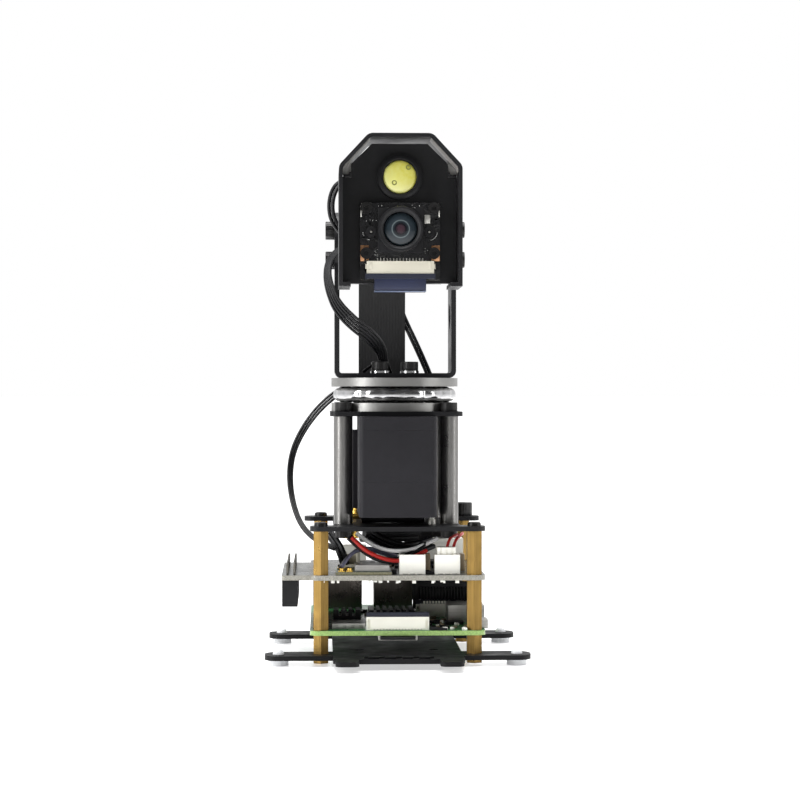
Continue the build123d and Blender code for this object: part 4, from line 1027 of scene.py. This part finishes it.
def fan(piece, route, radius, count, pitches, turns, steps=10):
    """Strands side by side along a route. Their pitch in millimetres and the angle by which the row turns out
    of the XZ plane go evenly through the values given for the start, middle and end."""
    line = smooth_line(route, steps)
    paths = [[] for _ in range(count)]
    for index, place in enumerate(line):
        share = index / (len(line) - 1)
        pitch, turn = (between(values, share) for values in (pitches, turns))
        ahead = (line[min(index + 1, len(line) - 1)] - line[max(index - 1, 0)]).normalized()
        flat = ahead.cross(Vector((0, 1, 0))).normalized()
        row = Matrix.Rotation(math.radians(turn), 3, ahead) @ flat
        for number, path in enumerate(paths):
            path.append(place + row * pitch * (number - (count - 1) / 2))
    for path in paths:
        piece.strand(path, radius)


def between(values, share):
    """A value at a share of the way through a list of evenly spaced values."""
    place = share * (len(values) - 1)
    first = min(int(place), len(values) - 2)
    return values[first] + (values[first + 1] - values[first]) * (place - first)


def held_leads():
    """Leads that end on one body."""
    main = Piece("left_loop_lead")
    fan(main, MAIN_LEAD, 0.43, 3, (0.86, 0.86, 0.9, 0.95), (60, 58, 40, 8, 0))
    main.ride("rubber", "cable_black", "root", ["main_lead"])
    loop = Piece("lamp_loop_lead")
    fan(loop, LAMP_LEAD, 0.6, 2, (1.22, 1.22), (0, 0))
    loop.ride("rubber", "cable_black", "head", ["lamp_lead"])
    white = Piece("white_arc_lead")
    bundle(white, WHITE_LEAD, 0.66)
    white.ride("white_lead", "cable_white", "root", ["white_lead"])
    red = Piece("red_arc_lead")
    bundle(red, RED_LEAD, 0.66)
    red.ride("red_lead", "cable_red", "root", ["red_lead"])
    dark = Piece("deck_black_leads")
    for route, radius, offsets in DARK_LEADS:
        bundle(dark, route, radius, offsets)
    deck = corners_mm("middle_deck")[1].z
    for row in range(3):
        y = -14.0 + 2.3 * row
        bundle(dark, [(-11.0, y + 1.0, deck + 1.2), (-5.0, y - 0.6, deck + 1.5), (2.0, y + 0.6, deck + 1.3),
                      (9.4, y - 0.4, deck + 1.4)], 1.15)
    dark.ride("rubber", "cable_black", "root")
    lilac = Piece("aerial_leads")
    bundle(lilac, AERIAL_LEADS, 0.6, ((-1, 0), (1, 0)))
    lilac.ride("lilac_lead", "cable_black", "root")
    plug = Piece("plug_leads")
    top = corners_mm("servo_plug")[1].z
    bundle(plug, [(16.0, -25.8, top - 0.4), (16.4, -25.6, top + 1.6), (17.6, -23.4, top + 3.2),
                  (19.8, -20.0, top + 3.6)], 0.5)
    bundle(plug, [(18.0, -25.8, top - 0.4), (18.6, -25.2, top + 2.0), (20.6, -23.0, top + 3.6),
                  (21.4, -19.0, top + 3.9)], 0.5)
    plug.ride("red_lead", "cable_red", "root")


def crossing_leads():
    """Leads that cross the joints: over the left arm, and round the back of the bearing."""
    arm = Piece("arm_leads")
    fan(arm, ARM_LEAD, 0.46, 5, (0.9, 0.9, 0.9, 0.9, 0.95, 0.95, 0.9, 0.8),
        (70, 66, 60, 44, 12, 0, 40, 70), 12)
    bundle(arm, STRAY_LEAD, 0.5)
    arm_mesh = arm.make("rubber", "cable_black")
    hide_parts("tilt_leads")
    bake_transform(arm_mesh)
    rear = Piece("rear_leads")
    fan(rear, REAR_LEAD, 0.6, 2, (1.2, 1.2), (10, 0), 12)
    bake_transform(rear.make("rubber", "cable_black"))
    servo = Piece("servo_leads")
    fan(servo, SERVO_LEAD, 0.6, 2, (1.2, 1.2), (0, 0), 12)
    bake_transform(servo.make("rubber", "cable_black"))
    turn = Piece("turning_lead")
    fan(turn, TURN_LEAD, 0.43, 3, (0.95, 0.9), (0, 20), 12)
    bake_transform(turn.make("rubber", "cable_black"))
    clip = Piece("lead_clip")
    clip.block((-0.4, 23.9, 112.6), (3.8, 25.4, 117.0), 0.3)
    clip.ride("rubber", "cable_black", "turntable")


FLAT_HALF, FLAT_THICK = 8.0, 0.3


def flat_strip(name, line):
    """A flat cable along a line, with its width across X."""
    piece = Piece(name)
    piece.band(line, [Vector((1, 0, 0))] * len(line), FLAT_HALF, FLAT_THICK)
    return piece


def flat_cables():
    low = flat_strip("flat_cable_low", smooth_line(LOWER_RIBBON, 14))
    low.ride("black_flat", "ribbon", "root", ["lower_ribbon"])
    turn = flat_strip("flat_cable_turn", smooth_line(TURN_RIBBON, 14)).make("black_flat", "ribbon")
    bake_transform(turn)
    high = flat_strip("flat_cable_high", smooth_line(UPPER_RIBBON, 14)).make("black_flat", "ribbon")
    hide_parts("upper_ribbon")
    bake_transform(high)
    front = corners_mm("camera_ribbon")[0].y + 0.2
    bends = [(front, 122.9), (front, 119.4), (front + 0.3, 118.4), (front + 1.4, 118.1), (-44.4, 118.1),
             (-43.0, 118.5), (-42.6, 119.6), (-42.6, 148.6), (-42.0, 150.2), (-40.6, 150.6), (-7.6, 150.6)]
    tail = flat_strip("camera_flat_cable", [Vector((0, y, z)) for y, z in bends])
    tail.ride("navy", "ribbon", "head", ["camera_ribbon"])
    fold = Piece("flat_cable_end")
    fold.block((-FLAT_HALF, front - 0.2, 117.95), (FLAT_HALF, front + 0.6, 118.12), 0.03)
    fold.ride("navy_edge", "ribbon", "head")


def main():
    make_camera()
    make_stage()
    dress_frame()
    yoke_screws()
    deck_screws()
    crimped_cage()
    lamp()
    lens()
    holder_details()
    camera_parts()
    hood_details()
    computer_details()
    driver_details()
    base_details()
    held_leads()
    crossing_leads()
    flat_cables()


main()
